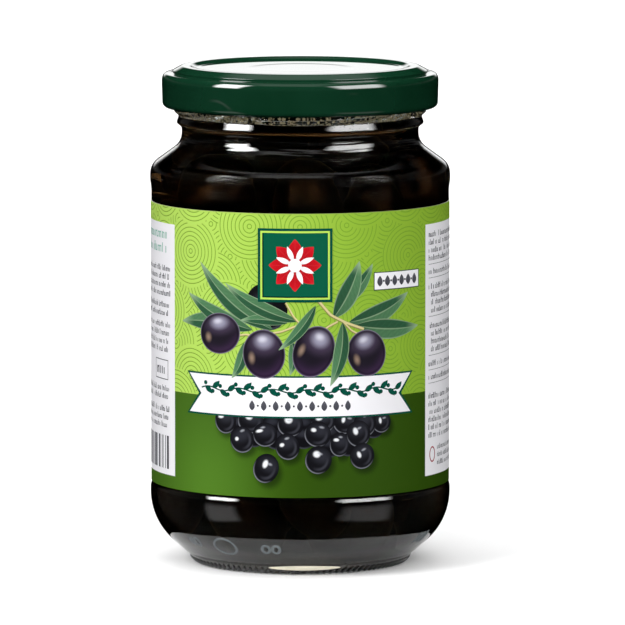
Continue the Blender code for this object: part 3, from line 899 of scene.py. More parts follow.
class InkSheet:
    """Collects printed shapes as small grids on the label and makes one mesh of them."""

    def __init__(self, label: LabelFrame) -> None:
        self.label = label
        self.points: list[Array] = []
        self.colours: list[Array] = []
        self.faces: list[Array] = []
        self.count = 0

    def grid(self, s: Array, z: Array, colour: str | Array, level: float, closed: bool = False) -> None:
        """Adds a grid of label places.

        Args:
            s: arc lengths, rows by columns, in millimetres.
            z: heights of the same shape.
            colour: one hex colour, or an array of linear colours, rows by columns by 3.
            level: layers of ink under this one.
            closed: joins the last column to the first.
        """
        rows, columns = s.shape
        quads = grid_quads(rows, columns, closed)
        flat_s, flat_z = s.ravel(), z.ravel()
        a, b, c = quads[:, 0], quads[:, 1], quads[:, 2]
        area = ((flat_s[b] - flat_s[a]) * (flat_z[c] - flat_z[a])
                - (flat_s[c] - flat_s[a]) * (flat_z[b] - flat_z[a]))
        if area.sum() < 0:
            quads = quads[:, ::-1]
        self.faces.append(quads + self.count)
        self.points.append(self.label.place(s, z, level).reshape(-1, 3))
        if isinstance(colour, str):
            colour = np.broadcast_to(linear(colour), (rows, columns, 3))
        self.colours.append(np.asarray(colour).reshape(-1, 3))
        self.count += rows * columns

    def field(self, s: tuple[float, float], z: tuple[float, float], colour: str, level: float) -> None:
        """A rectangle of one colour, cut into columns that follow the jar's curve."""
        columns = max(2, math.ceil((s[1] - s[0]) / 0.55) + 1)
        grid_z, grid_s = np.meshgrid(np.array(z), np.linspace(*s, columns), indexing="ij")
        self.grid(grid_s, grid_z, colour, level)

    def frame_line(self, s: tuple[float, float], z: tuple[float, float], width: float, colour: str,
                   level: float) -> None:
        """An upright rectangular outline, drawn inwards from its edges."""
        self.field(s, (z[0], z[0] + width), colour, level)
        self.field(s, (z[1] - width, z[1]), colour, level)
        self.field((s[0], s[0] + width), (z[0] + width, z[1] - width), colour, level)
        self.field((s[1] - width, s[1]), (z[0] + width, z[1] - width), colour, level)

    def disc(self, centre: tuple[float, float], radii: tuple[float, float], tilt: float, level: float,
             shade: Field, rings: int = 14, around: int = 48) -> None:
        """An ellipse, turned by tilt degrees, coloured by shade(x, y) with x and y from -1 to 1.

        Point (i, j) lies at i / rings of the radius in direction 2 pi j / around.
        """
        part, turn = np.meshgrid(np.linspace(0.001, 1, rings), full_turn(around), indexing="ij")
        x, y = part * np.cos(turn), part * np.sin(turn)
        lean = math.radians(tilt)
        across, up = x * radii[0], y * radii[1]
        s = centre[0] + across * math.cos(lean) - up * math.sin(lean)
        z = centre[1] + across * math.sin(lean) + up * math.cos(lean)
        self.grid(s, z, shade(x, y), level, closed=True)

    def stroke(self, path: Array, width: float, colour: str, level: float) -> None:
        """A line along a path: each point is moved to both sides by half the width."""
        side = left_normals(path) * width / 2
        edges = np.stack([path - side, path + side])
        self.grid(edges[..., 0], edges[..., 1], colour, level)

    def boxes(self, left: Array, right: Array, low: Array, high: Array, colour: str, level: float) -> None:
        """Many small upright rectangles at once, from arrays of their edges."""
        s = np.stack([left, right, right, left], 1).ravel()
        z = np.stack([low, low, high, high], 1).ravel()
        self.points.append(self.label.place(s, z, level))
        self.faces.append(np.arange(len(s)).reshape(-1, 4) + self.count)
        self.colours.append(np.tile(linear(colour), (len(s), 1)))
        self.count += len(s)

    def build(self, name: str, material: bpy.types.Material) -> bpy.types.Object:
        """Makes the mesh of everything collected."""
        return put_mesh(name, np.concatenate(self.points), np.concatenate(self.faces).tolist(), material,
                        np.concatenate(self.colours))


class Ink(Enum):
    """Colours of the label's print, as sRGB hex; the left and right limes and bands end ramps of painted
    shade.
    """

    LIME_LEFT = "b8dc63"
    LIME_RIGHT = "8fb736"
    RING_LINE = "76a32f"
    BAND_LEFT = "43691c"
    BAND_RIGHT = "2d4b07"
    WHITE = "f7f6fa"
    BORDER_GREEN = "00493a"
    PLAQUE_GREEN = "03583f"
    PLAQUE_SHADE = "012a24"
    HAIRLINE = "b9e05a"
    MOTIF_RED = "b4101b"
    MOTIF_PALE_RED = "cc2a33"
    BOX_LINE = "3b4a3b"
    MARK_GREY = "4a4a52"
    HEADING = "8cbfae"
    RING_MARK = "a02c3a"
    STEM = "d3c690"
    STEM_SHADE = "8f8a4e"
    LEAF_DARK = "2a5238"
    LEAF_MID = "4a7450"
    LEAF_PALE = "a8c39c"


@dataclass(frozen=True)
class PrintedOlive:
    """One printed olive: middle and half sizes in millimetres on the label, and lean in degrees."""

    middle: tuple[float, float]
    half: tuple[float, float]
    lean: float

    @staticmethod
    def spot(x: Array, y: Array, at: tuple[float, float], size: tuple[float, float],
             edge: float) -> Array:
        """A soft spot: 1 within the ellipse at a place, falling to 0 over the given share of its size."""
        reach = np.hypot((x - at[0]) / size[0], (y - at[1]) / size[1])
        return 1 - smoothstep(1 - edge, 1 + edge, reach)

    @staticmethod
    def layered(base: str, layers: list[tuple[str, Array]]) -> Array:
        """Colours blended over a base, each layer by its own amounts from 0 to 1."""
        tone = np.array(linear(base)) * np.ones((*layers[0][1].shape, 1))
        for colour, amount in layers:
            tone = tone * (1 - amount[..., None]) + np.array(linear(colour)) * amount[..., None]
        return tone

    def ripe_tone(self, x: Array, y: Array) -> Array:
        """Purple black fruit: a cloudy window above, a small warm glint at the left, a pale thin rim."""
        radius = np.hypot(x, y)
        low = smoothstep(0.0, 0.9, -y * 0.9 + x * 0.25)
        return self.layered("1a1520", [
            ("3d2748", low * smoothstep(0.35, 0.95, radius) * 0.8),
            ("5f4f6b", self.spot(x, y, (0.1, 0.48), (0.62, 0.42), 0.8) * 0.55),
            ("a9a8bd", self.spot(x, y, (0.06, 0.52), (0.36, 0.26), 0.7) * 0.75),
            ("dddce8", self.spot(x, y, (0.0, 0.60), (0.18, 0.11), 0.8) * 0.7),
            ("d9b79c", self.spot(x, y, (-0.58, -0.12), (0.11, 0.17), 0.98) * 0.4),
            ("0f0b13", smoothstep(0.80, 0.93, radius) * (1 - smoothstep(0.93, 0.97, radius)) * 0.6),
            ("a89fb8", smoothstep(0.95, 0.99, radius) * 0.6)])

    def deep_tone(self, x: Array, y: Array) -> Array:
        """Black fruit in the shade of others: near black with a dull glow above and a faint lower rim."""
        radius = np.hypot(x, y)
        lower = smoothstep(0.1, 0.9, -0.8 * y - 0.45 * x)
        return self.layered("0b0b10", [
            ("32333c", self.spot(x, y, (-0.1, 0.35), (0.45, 0.28), 0.8) * 0.7),
            ("4d4f59", smoothstep(0.86, 0.94, radius) * lower * 0.6)])

    def black_tone(self, x: Array, y: Array) -> Array:
        """Glossy black fruit: a crisp white window above left, a dull inner glow, a light lower rim."""
        radius = np.hypot(x, y)
        vary, other = math.sin(self.middle[0] * 12.9), math.sin(self.middle[1] * 7.3 + self.middle[0])
        lower = smoothstep(0.1, 0.9, -0.8 * y - 0.45 * x)
        arc_glow = self.spot(radius, x * 0, (0.66, 0), (0.09, 1), 0.9)
        arc_glow = arc_glow * smoothstep(0.1, 0.8, 0.7 * x - y * 0.6)
        return self.layered("0e0e13", [
            ("34353e", self.spot(x, y, (0.12, 0.3), (0.62, 0.42), 0.8) * 0.6),
            ("4b4c56", arc_glow * 0.6),
            ("eceef2", self.spot(x, y, (-0.26 + 0.13 * vary, 0.30 + 0.1 * other),
                                 (0.21 + 0.07 * other, 0.20 + 0.08 * vary), 0.35)),
            ("b4b7c0", self.spot(x, y, (0.12 - 0.2 * other, 0.48 - 0.14 * vary), (0.17, 0.07), 0.6) * 0.7),
            ("8d909b", smoothstep(0.88, 0.94, radius) * lower * (1 - smoothstep(0.965, 0.99, radius)) * 0.85),
            ("07070a", smoothstep(0.965, 0.99, radius) * 0.8)])


@dataclass(frozen=True)
class PrintedLeaf:
    """One printed leaf from its stalk to its tip, in millimetres on the label."""

    base: tuple[float, float]
    tip: tuple[float, float]
    width: float
    bend: float


# Leaves: places of stalk and tip, width, bend
BRANCH_LEAVES = tuple(PrintedLeaf(*row) for row in (
    ((-14.0, 60.2), (-32.2, 60.9), 4.7, -0.05), ((-11.5, 60.0), (-29.8, 68.0), 4.3, 0.05),
    ((10.8, 66.4), (18.0, 75.6), 3.2, -0.05), ((8.6, 64.0), (12.6, 70.0), 2.6, 0.05),
    ((-6.4, 60.2), (-25.9, 75.7), 4.4, 0.07), ((-3.0, 61.8), (-14.6, 62.2), 2.6, -0.05),
    ((8.0, 63.0), (14.5, 76.4), 5.0, -0.06), ((11.9, 61.9), (28.6, 68.2), 4.7, -0.07),
    ((13.6, 61.0), (32.3, 59.9), 4.9, -0.04), ((-0.4, 62.3), (-18.6, 71.0), 3.6, 0.06),
    ((-2.0, 57.5), (-2.4, 49.3), 2.5, 0.08), ((-13.7, 56.8), (-16.9, 48.2), 2.9, 0.1)))
FRONT_LEAVES = (PrintedLeaf((3.7, 66.0), (-5.1, 55.3), 2.8, 0.06),
                PrintedLeaf((10.2, 61.8), (7.2, 46.6), 3.7, 0.07))
# Olives: middle, half sizes, lean
BRANCH_OLIVES = tuple(PrintedOlive(*row) for row in (
    ((-8.0, 65.6), (4.9, 5.7), 24), ((-20.2, 58.8), (5.6, 4.9), 8), ((-8.7, 54.3), (5.2, 5.9), 5),
    ((3.3, 55.0), (4.9, 6.3), -22), ((16.5, 54.3), (5.1, 5.6), 17)))
HEAP_OLIVES = tuple(PrintedOlive(*row) for row in (
    ((20.6, 37.4), (2.6, 2.5), 10), ((-18.6, 37.9), (2.9, 3.1), 5), ((10.9, 37.9), (3.0, 2.8), -10),
    ((5.6, 38.3), (3.0, 2.8), 15), ((-12.0, 38.1), (3.3, 2.9), -8), ((16.0, 37.2), (3.0, 3.0), 25),
    ((-2.3, 37.5), (3.1, 2.9), 0), ((9.6, 32.6), (2.5, 2.9), -5), ((14.3, 35.0), (3.1, 3.2), 20),
    ((4.2, 35.2), (3.2, 3.1), -12), ((-8.4, 35.0), (3.0, 2.9), 12), ((-14.2, 33.6), (3.1, 3.2), 24),
    ((-3.0, 32.2), (2.9, 3.2), 20), ((4.4, 29.0), (3.2, 3.4), -15), ((15.3, 29.6), (3.2, 3.1), 24),
    ((-8.2, 26.9), (3.1, 3.6), -20)))
DEEP_OLIVES = tuple(PrintedOlive(place, (2.9, 2.7), 0) for place in (
    (-15.4, 37.0), (-6.4, 37.2), (1.2, 37.2), (-11.2, 34.6), (-5.7, 34.2), (0.9, 34.4), (7.4, 34.9),
    (12.0, 35.2), (18.4, 36.4), (11.8, 32.4), (6.9, 32.2)))
# Heights of the rows of marks on the side panels, and the list's blocks as height and number of rows
HEADING_ROWS = (80.0, 76.6)
UPPER_ROWS = (72.2, 70.2, 68.2, 66.2, 63.4, 61.4, 58.6, 56.6, 54.6, 52.6)
LOWER_ROWS = (43.2, 41.3, 38.2, 36.3, 34.4)
LIST_BLOCKS = ((80.6, 4), (71.6, 1), (68.0, 4), (58.6, 4), (49.4, 1), (46.2, 1), (41.6, 6))
# Twigs: knots of the line, width
TWIGS = (
    (((4.4, 67.0), (7.3, 63.6), (11.2, 61.6), (15.6, 60.0)), 0.8),
    (((-3.4, 66.6), (-1.6, 63.4), (0.2, 61.3)), 0.55), (((1.4, 62.0), (-4.4, 59.7), (-9.0, 58.9)), 0.6),
    (((10.4, 61.9), (12.4, 59.8), (14.6, 58.6)), 0.55), (((-11.3, 58.5), (-13.2, 58.8), (-15.8, 58.4)), 0.6),
    (((9.0, 62.0), (6.8, 60.9), (5.6, 60.0)), 0.6))


@dataclass
class LabelPrint:
    """The print of the label: greens, ring fans, side panels, ribbon, plaque, branch and olives."""

    label: LabelFrame
    band_top_z: float = 43.6
    ring_spacing: float = 1.03
    ring_line: float = 0.21
    fan_radius: float = 8.0
    fan_pitch: tuple[float, float] = (11.3, 7.4)
    side_panel: tuple[float, float] = (35.4, 97.0)
    side_panel_z: tuple[float, float] = (23.0, 83.7)
    ribbon_half: float = 30.3
    ribbon_z: tuple[float, float] = (39.0, 49.15)
    ribbon_notch: float = 3.9
    ribbon_line: float = 0.42
    plaque_s: tuple[float, float] = (-10.1, 7.75)
    plaque_z: tuple[float, float] = (66.8, 84.4)
    box_s: tuple[float, float] = (18.3, 32.5)
    box_z: tuple[float, float] = (69.1, 73.5)
    print_tall: float = 1.35
    row_pitch: float = 1.9
    margin: float = 3.0
    stripes_z: tuple[float, float] = (24.4, 32.4)
    stripes_reach: float = 29.4
    garland_z: float = 45.5
    garland_swing: float = 0.42
    garland_pitch: float = 8.5
    seed: int = 11

    def green_at(self, s: Array, z: Array) -> Array:
        """Printed green at label places, with painted shade and a painted highlight in it.

        Painted shade deepens the greens from left to right by a smooth ramp over the angle; they come back at
        the seam. A painted highlight lightens the dark band towards its foot on the left.
        """
        angle = np.mod(np.degrees(s / self.label.radius) + 180, 360) - 180
        seam = 1 - smoothstep(140, 180, angle)
        # Painted shade: the greens deepen to the right, away from the key light, and come back at the seam
        deep = smoothstep(-52, 30, angle) * seam
        lime = blend(Ink.LIME_LEFT.value, Ink.LIME_RIGHT.value, deep)
        dark = smoothstep(-45, 5, angle) * seam
        band = blend(Ink.BAND_LEFT.value, Ink.BAND_RIGHT.value, dark)
        # Painted highlight: the dark band lightens towards its foot on the left
        glow = np.exp(-((angle + 35) / 24) ** 2) * smoothstep(self.band_top_z, self.label.foot_z + 3, z)
        band = band * (1 + 0.45 * glow[..., None])
        return np.where((z >= self.band_top_z)[..., None], lime, band)

    def greens(self) -> InkSheet:
        """The light field and the dark band, right round the label."""
        sheet = InkSheet(self.label)
        reach = math.pi * self.label.radius
        lap = math.radians(self.label.lap) * self.label.radius
        across = np.linspace(-reach, reach + lap, 440)
        for low, high in ((self.band_top_z, self.label.top_z), (self.label.foot_z, self.band_top_z - 1e-4)):
            z, s = np.meshgrid(np.linspace(low, high, 11), across, indexing="ij")
            sheet.grid(s, z, self.green_at(s, z), 1)
        return sheet

    def ring_fans(self) -> InkSheet:
        """Overlapping discs of concentric rings, in staggered rows.

        A ring's points are dropped where a later disc covers them or where they leave the light field, and
        each run of neighbours that is left makes one strip of the line.
        """
        sheet = InkSheet(self.label)
        random = np.random.default_rng(self.seed)
        reach = math.pi * self.label.radius
        pitch_s, pitch_z = self.fan_pitch
        centres = []
        for row, z in enumerate(np.arange(self.band_top_z - 3, self.label.top_z + 6, pitch_z)):
            shift = pitch_s * (0.5 * (row % 2))
            for s in np.arange(-reach + shift, reach + pitch_s / 2, pitch_s):
                centres.append((s + random.uniform(-0.9, 0.9), z + random.uniform(-0.7, 0.7)))
        centres = np.array(centres)
        centres = centres[random.permutation(len(centres))]
        radii = self.fan_radius + random.uniform(-0.6, 0.6, len(centres))
        for index, (centre, radius) in enumerate(zip(centres, radii)):
            later = np.arange(index + 1, len(centres))
            later = later[np.linalg.norm(centres[later] - centre, axis=1) < radius + radii[later]]
            for ring in np.arange(0.55, radius / self.ring_spacing + 0.01) * self.ring_spacing:
                count = max(14, math.ceil(2 * math.pi * ring / 0.42))
                turn = np.linspace(0, 2 * math.pi, count + 1)
                unit = np.stack([np.cos(turn), np.sin(turn)], 1)
                line = centre + unit * ring
                shown = (line[:, 1] > self.band_top_z) & (line[:, 1] < self.label.top_z - 0.1)
                shown &= np.abs(line[:, 0]) < reach + 6
                gap = np.linalg.norm(line[:, None, :] - centres[later][None], axis=2)
                shown &= (gap > radii[later][None]).all(1)
                pair = shown[:-1] & shown[1:]
                for start in np.flatnonzero(pair & ~np.append(False, pair[:-1])):
                    end = start + int(np.argmin(np.append(pair[start:], False)))
                    sheet.stroke(line[start:end + 1], self.ring_line, Ink.RING_LINE.value, 2)
        return sheet

    def greeked(self, sheet: InkSheet, random: np.random.Generator, s: tuple[float, float], z: float,
                tall: float, colour: str) -> None:
        """A row of marks that reads as small print from afar: words of short upright strokes.

        Stroke k stands at k times its pitch; strokes that fall in the gaps between words are dropped.
        """
        pitch = tall * 0.42
        count = int((s[1] - s[0]) / pitch)
        left = s[0] + np.arange(count) * pitch
        word = np.cumsum(random.uniform(0, 1, count) < 0.16) % 7
        shown = np.append(np.diff(word) == 0, True)
        height = tall * random.choice([0.62, 0.62, 0.7, 1.0], count)
        width = tall * random.choice([0.17, 0.17, 0.25], count)
        left, height, width = left[shown], height[shown], width[shown]
        sheet.boxes(left, left + width, np.full(len(left), z), z + height, colour, 4)
        bars = shown[:-1] & shown[1:] & (random.uniform(0, 1, count - 1) < 0.45)
        start = (s[0] + np.arange(count - 1) * pitch)[bars]
        lift = random.choice([0.0, 0.52], len(start)) * tall
        sheet.boxes(start, start + pitch, z + lift, z + lift + tall * 0.13, colour, 4)

    def side_panels(self) -> InkSheet:
        """Two white panels with rows of marks: a heading, blocks, a small box and stripes; or a list."""
        sheet = InkSheet(self.label)
        random = np.random.default_rng(self.seed + 1)
        near, far = self.side_panel
        foot, top = self.side_panel_z
        grey = Ink.MARK_GREY.value
        sheet.field((-far, -near), (foot, top), Ink.WHITE.value, 3)
        sheet.field((near, far), (foot, top), Ink.WHITE.value, 3)
        inner = -near - 1.3
        tall, outer = self.print_tall, -far + self.margin
        for z in HEADING_ROWS:
            self.greeked(sheet, random, (outer, inner - 1.5), z, 2.3, Ink.HEADING.value)
        for z in UPPER_ROWS:
            self.greeked(sheet, random, (outer, inner - random.uniform(0, 2)), z, tall, grey)
        sheet.frame_line((-46.6, -38.6), (45.9, 50.7), 0.2, grey, 4)
        self.greeked(sheet, random, (-45.4, -39.6), 47.2, 2.6, grey)
        for z in LOWER_ROWS:
            self.greeked(sheet, random, (outer, inner - random.uniform(0, 3)), z, tall, grey)
        edges = np.cumsum(random.choice([0.33, 0.66, 0.99], 46))
        kept = edges[1::2] < self.stripes_reach
        starts, ends = (inner - 30 + edge[kept] for edge in (edges[:-1:2], edges[1::2]))
        low, high = (np.full(len(starts), z) for z in self.stripes_z)
        sheet.boxes(starts, ends, low, high, grey, 4)
        left, right = near + 1.5, far - self.margin
        for z, rows in LIST_BLOCKS:
            for row in range(rows):
                indent = 1.2 * (row > 0) * (rows == 4) * (z < 70)
                end = right - random.uniform(0, 12) * (row == rows - 1)
                self.greeked(sheet, random, (left + indent, end), z - self.row_pitch * row, tall, grey)
            if rows != 6:
                line = z - self.row_pitch * (rows - 1) - 0.9
                sheet.field((left, right), (line - 0.05, line + 0.05), grey, 4)
        for row in range(3):
            self.greeked(sheet, random, (left + 4.6, far - 12), 29.0 - self.row_pitch * row, 1.2, grey)
        turn = np.linspace(0, 2 * math.pi, 40)
        ring = np.stack([left + 1.9 + 1.25 * np.cos(turn), 28.0 + 1.75 * np.sin(turn)], 1)
        sheet.stroke(ring, 0.35, Ink.RING_MARK.value, 4)
        return sheet

    def swallowtail(self, sheet: InkSheet, grow: float, colour: str, level: float) -> None:
        """A ribbon with notched ends, which draw in by notch (1 - |2 up - 1|) as up runs from 0 to 1."""
        low, high = self.ribbon_z[0] - grow, self.ribbon_z[1] + grow
        up = np.linspace(0, 1, 9)
        notch = self.ribbon_notch * (1 - np.abs(2 * up - 1))
        half = self.ribbon_half + grow * 1.9 - notch
        across = np.linspace(-1, 1, 121)
        s = half[:, None] * across[None, :]
        z = np.repeat((low + (high - low) * up)[:, None], len(across), 1)
        sheet.grid(s, z, colour, level)

    def ribbon(self) -> InkSheet:
        """The white swallowtail ribbon with a leafy garland, and a row of lozenges under it."""
        sheet = InkSheet(self.label)
        self.swallowtail(sheet, 0.0, Ink.BORDER_GREEN.value, 7)
        self.swallowtail(sheet, -self.ribbon_line, Ink.WHITE.value, 8)
        green = Ink.BORDER_GREEN.value

        def wave(s: Array) -> Array:
            return self.garland_z + self.garland_swing * np.sin(s * 2 * math.pi / self.garland_pitch)

        along = np.linspace(-25.5, 25.5, 240)
        sheet.stroke(np.stack([along, wave(along)], 1), 0.34, green, 9)
        for index, s in enumerate(np.linspace(-24.4, 24.4, 24)):
            z = wave(s)
            side = 1 if index % 2 else -1
            self.leaf(sheet, PrintedLeaf((s, z), (s + 2.1, z + side * 1.65), 1.35, -0.08 * side),
                      (green,) * 3, 9.5)
            berry = (s + 0.15, z - side * 0.95)
            sheet.disc(berry, (0.52, 0.52), 0, 9.5, self.plain(green), rings=3, around=16)
        self.lozenges(sheet, np.linspace(-11.6, 11.6, 17), (40.7, 41.9, 43.15), 1.4, 0.26, 9)
        return sheet

    def lozenges(self, sheet: InkSheet, places: Array, z: tuple[float, float, float], width: float,
                 dot: float, level: float) -> None:
        """A plain row of lozenges with a dot between neighbours.

        Args:
            sheet: where the row is printed.
            places: arc lengths of lozenges and dots in turn.
            z: heights of a lozenge's foot, of the dots and of a lozenge's top.
            width: width of a lozenge.
            dot: radius of a dot.
            level: layers of ink under the row.
        """
        dark = Ink.MARK_GREY.value
        for index, s in enumerate(places):
            if index % 2:
                sheet.disc((s, z[1]), (dot, dot), 0, level, self.plain(dark), rings=2, around=10)
            else:
                self.leaf(sheet, PrintedLeaf((s, z[0]), (s, z[2]), width, 0.0), (dark,) * 3, level)

    @staticmethod
    def plain(colour: str) -> Field:
        """A tone for discs of one colour."""
        return lambda x, y: np.broadcast_to(linear(colour), (*x.shape, 3))

    def leaf(self, sheet: InkSheet, leaf: PrintedLeaf, colours: tuple[str, str, str],
             level: float) -> None:
        """A leaf: its midrib is a parabola from base to tip, its half width a skewed sine along it.

        Args:
            sheet: where the leaf is printed.
            leaf: places, width and bend; the bend bows the midrib to the left of its way.
            colours: hex colours of one half, of the other half, and of rib, rim and tip.
            level: layers of ink under it.
        """
        start, end = np.array(leaf.base, float), np.array(leaf.tip, float)
        along = np.linspace(0, 1, 30 if np.linalg.norm(end - start) > 4 else 9)
        side = np.array([-(end - start)[1], (end - start)[0]])
        rib = start + (end - start) * along[:, None] + side * (leaf.bend * 4 * along * (1 - along))[:, None]
        normal = left_normals(rib)
        half = leaf.width / 2 * np.sin(math.pi * along ** 0.85) ** 0.9
        across = np.array([-1, -0.93, -0.85, -0.6, -0.3, -0.09, -0.04, 0.04, 0.09, 0.3, 0.6, 0.85, 0.93, 1])
        grid = rib[:, None, :] + normal[:, None, :] * (half[:, None] * across[None, :])[..., None]
        dark, mid, pale = (np.array(linear(colour)) for colour in colours)
        grain = 1 + 0.1 * np.sin(along[:, None] * 61 + np.abs(across)[None, :] * 12)
        upper = smoothstep(-0.1, 0.1, across)[None, :, None]
        tone = (mid * (1 - upper) + dark * upper) * (grain * (0.8 + 0.5 * along[:, None]))[..., None]
        rim = (np.abs(across) > 0.9)[None, :] * 0.5
        vein = (np.abs(across) < 0.05)[None, :] * 0.45 * np.ones((len(along), 1))
        tipped = smoothstep(0.75, 1.0, along)[:, None] * 0.7
        mix = np.clip(np.maximum(np.maximum(rim, vein), tipped), 0, 1)[..., None]
        sheet.grid(grid[..., 0], grid[..., 1], tone * (1 - mix) + pale * mix, level)

    def shadow(self, sheet: InkSheet, olive: PrintedOlive, shift: tuple[float, float], depth: float,
               level: float) -> None:
        """A printed soft shadow: the green under it, darkened most at the middle of an ellipse."""
        middle = (olive.middle[0] + shift[0], olive.middle[1] + shift[1])
        half = (olive.half[0] * 1.35, olive.half[1] * 1.3)

        def tone(x: Array, y: Array) -> Array:
            dim = 1 - depth * (1 - smoothstep(0.55, 1.0, np.hypot(x, y)))
            return self.green_at(middle[0] + x * half[0], middle[1] + y * half[1]) * dim[..., None]

        sheet.disc(middle, half, 0, level, tone)

    def branch(self) -> InkSheet:
        """The olive branch: leaves, twigs and five fruits, over the ribbon's upper edge."""
        sheet = InkSheet(self.label)
        greens = (Ink.LEAF_DARK.value, Ink.LEAF_MID.value, Ink.LEAF_PALE.value)
        for index, leaf in enumerate(BRANCH_LEAVES):
            self.leaf(sheet, leaf, greens, 9.8 + 0.3 * index)
        for points, width in TWIGS:
            knots = np.array(points)
            part = np.linspace(0, len(knots) - 1, 26)
            path = np.stack([np.interp(part, np.arange(len(knots)), knots[:, k]) for k in (0, 1)], 1)
            path[1:-1] = (path[:-2] + path[1:-1] + path[2:]) / 3
            sheet.stroke(path, width, Ink.STEM_SHADE.value, 13.6)
            sheet.stroke(path + (0.05, 0.1), width * 0.62, Ink.STEM.value, 14)
        for index, olive in enumerate(BRANCH_OLIVES):
            level = 15 if index else 9.3
            tone = olive.ripe_tone if index else olive.deep_tone
            sheet.disc(olive.middle, olive.half, olive.lean, level, tone, rings=24, around=80)
        for index, leaf in enumerate(FRONT_LEAVES):
            self.leaf(sheet, leaf, greens, 16 + 0.3 * index)
        return sheet

    def heap(self) -> InkSheet:
        """The heap of black olives that comes out under the ribbon, each with a soft shadow."""
        sheet = InkSheet(self.label)
        step = 2.2 / len(HEAP_OLIVES)
        for index, olive in enumerate(HEAP_OLIVES):
            self.shadow(sheet, olive, (0.7, -1.1), 0.6, 2.2 + 0.02 * index)
        for index, olive in enumerate(DEEP_OLIVES):
            sheet.disc(olive.middle, olive.half, olive.lean, 3 + 0.12 * index, olive.deep_tone, rings=12,
                       around=40)
        for index, olive in enumerate(HEAP_OLIVES):
            sheet.disc(olive.middle, olive.half, olive.lean, 4.5 + step * index, olive.black_tone, rings=20,
                       around=56)
        return sheet

    def plaque(self) -> InkSheet:
        """The dark green square with its light hairline and a plain rosette."""
        sheet = InkSheet(self.label)
        s, z = self.plaque_s, self.plaque_z
        sheet.field(s, z, Ink.BORDER_GREEN.value, 18)
        self.inset(sheet, s, z, 0.62, Ink.HAIRLINE.value, 18.5)
        self.inset(sheet, s, z, 1.08, Ink.PLAQUE_SHADE.value, 19)
        inner_s, inner_z = (s[0] + 1.42, s[1] - 1.12), (z[0] + 1.38, z[1] - 1.12)
        sheet.field(inner_s, inner_z, Ink.PLAQUE_GREEN.value, 19.5)
        middle = ((s[0] + s[1]) / 2, (z[0] + z[1]) / 2)
        red, pale_red, white = Ink.MOTIF_RED.value, Ink.MOTIF_PALE_RED.value, Ink.WHITE.value
        for shift, reach, width, level, tones in ((0, 6.3, 3.4, 20, (red, red, pale_red)),
                                                  (22.5, 4.9, 1.25, 20.6, (white, white, white))):
            for index in range(8):
                turn = math.radians(index * 45 + shift)
                way = np.array([math.sin(turn), math.cos(turn)])
                base, tip = tuple(middle + 1.1 * way), tuple(middle + reach * way)
                self.leaf(sheet, PrintedLeaf(base, tip, width, 0.0), tones, level)
        sheet.disc(middle, (1.6, 1.6), 0, 21.2, self.plain(white), rings=4, around=28)
        return sheet

    def inset(self, sheet: InkSheet, s: tuple, z: tuple, by: float, colour: str, level: float) -> None:
        """A rectangle drawn in from the given one on all sides."""
        sheet.field((s[0] + by, s[1] - by), (z[0] + by, z[1] - by), colour, level)

    def small_box(self) -> InkSheet:
        """The small white box with its thin outline and a plain row of lozenges and dots."""
        sheet = InkSheet(self.label)
        sheet.field(self.box_s, self.box_z, Ink.BOX_LINE.value, 12.5)
        self.inset(sheet, self.box_s, self.box_z, 0.22, Ink.WHITE.value, 13)
        middle = sum(self.box_z) / 2
        places = np.linspace(self.box_s[0] + 1.7, self.box_s[1] - 1.7, 11)
        self.lozenges(sheet, places, (middle - 1.3, middle, middle + 1.3), 1.5, 0.27, 13.5)
        return sheet

    def build(self) -> list:
        """Builds every printed layer with one shared ink material.

        Returns:
            The printed pieces.
        """
        ink = LABEL_INK.build()
        layers = {"print_greens": self.greens(), "print_ring_fans": self.ring_fans(),
                  "print_side_panels": self.side_panels(), "print_heap": self.heap(),
                  "print_ribbon": self.ribbon(), "print_branch": self.branch(),
                  "print_small_box": self.small_box(), "print_plaque": self.plaque()}
        return [sheet.build(name, ink) for name, sheet in layers.items()]


# Softboxes: name, azimuth, elevation, width and height in metres, brightness
STRIPS = (("strip_left", -64, 29, (0.66, 0.98), 21.0), ("strip_right", 53, 29, (1.12, 0.98), 11.0),
          ("strip_left_foot", -64, -20, (0.7, 0.6), 0.8), ("strip_right_foot", 53, -20, (1.1, 0.6), 0.6),
          ("window_front", -12, 62, (1.2, 0.8), 0.8), ("window_above", 180, 74, (1.4, 1.3), 0.45))
# Soft light from afar: name, azimuth, elevation, spread, strength
WASHES = (("key_left", -50, 38, 28, 1.8), ("fill_front", 14, 12, 50, 2.15), ("overhead", 0, 90, 130, 3.3))


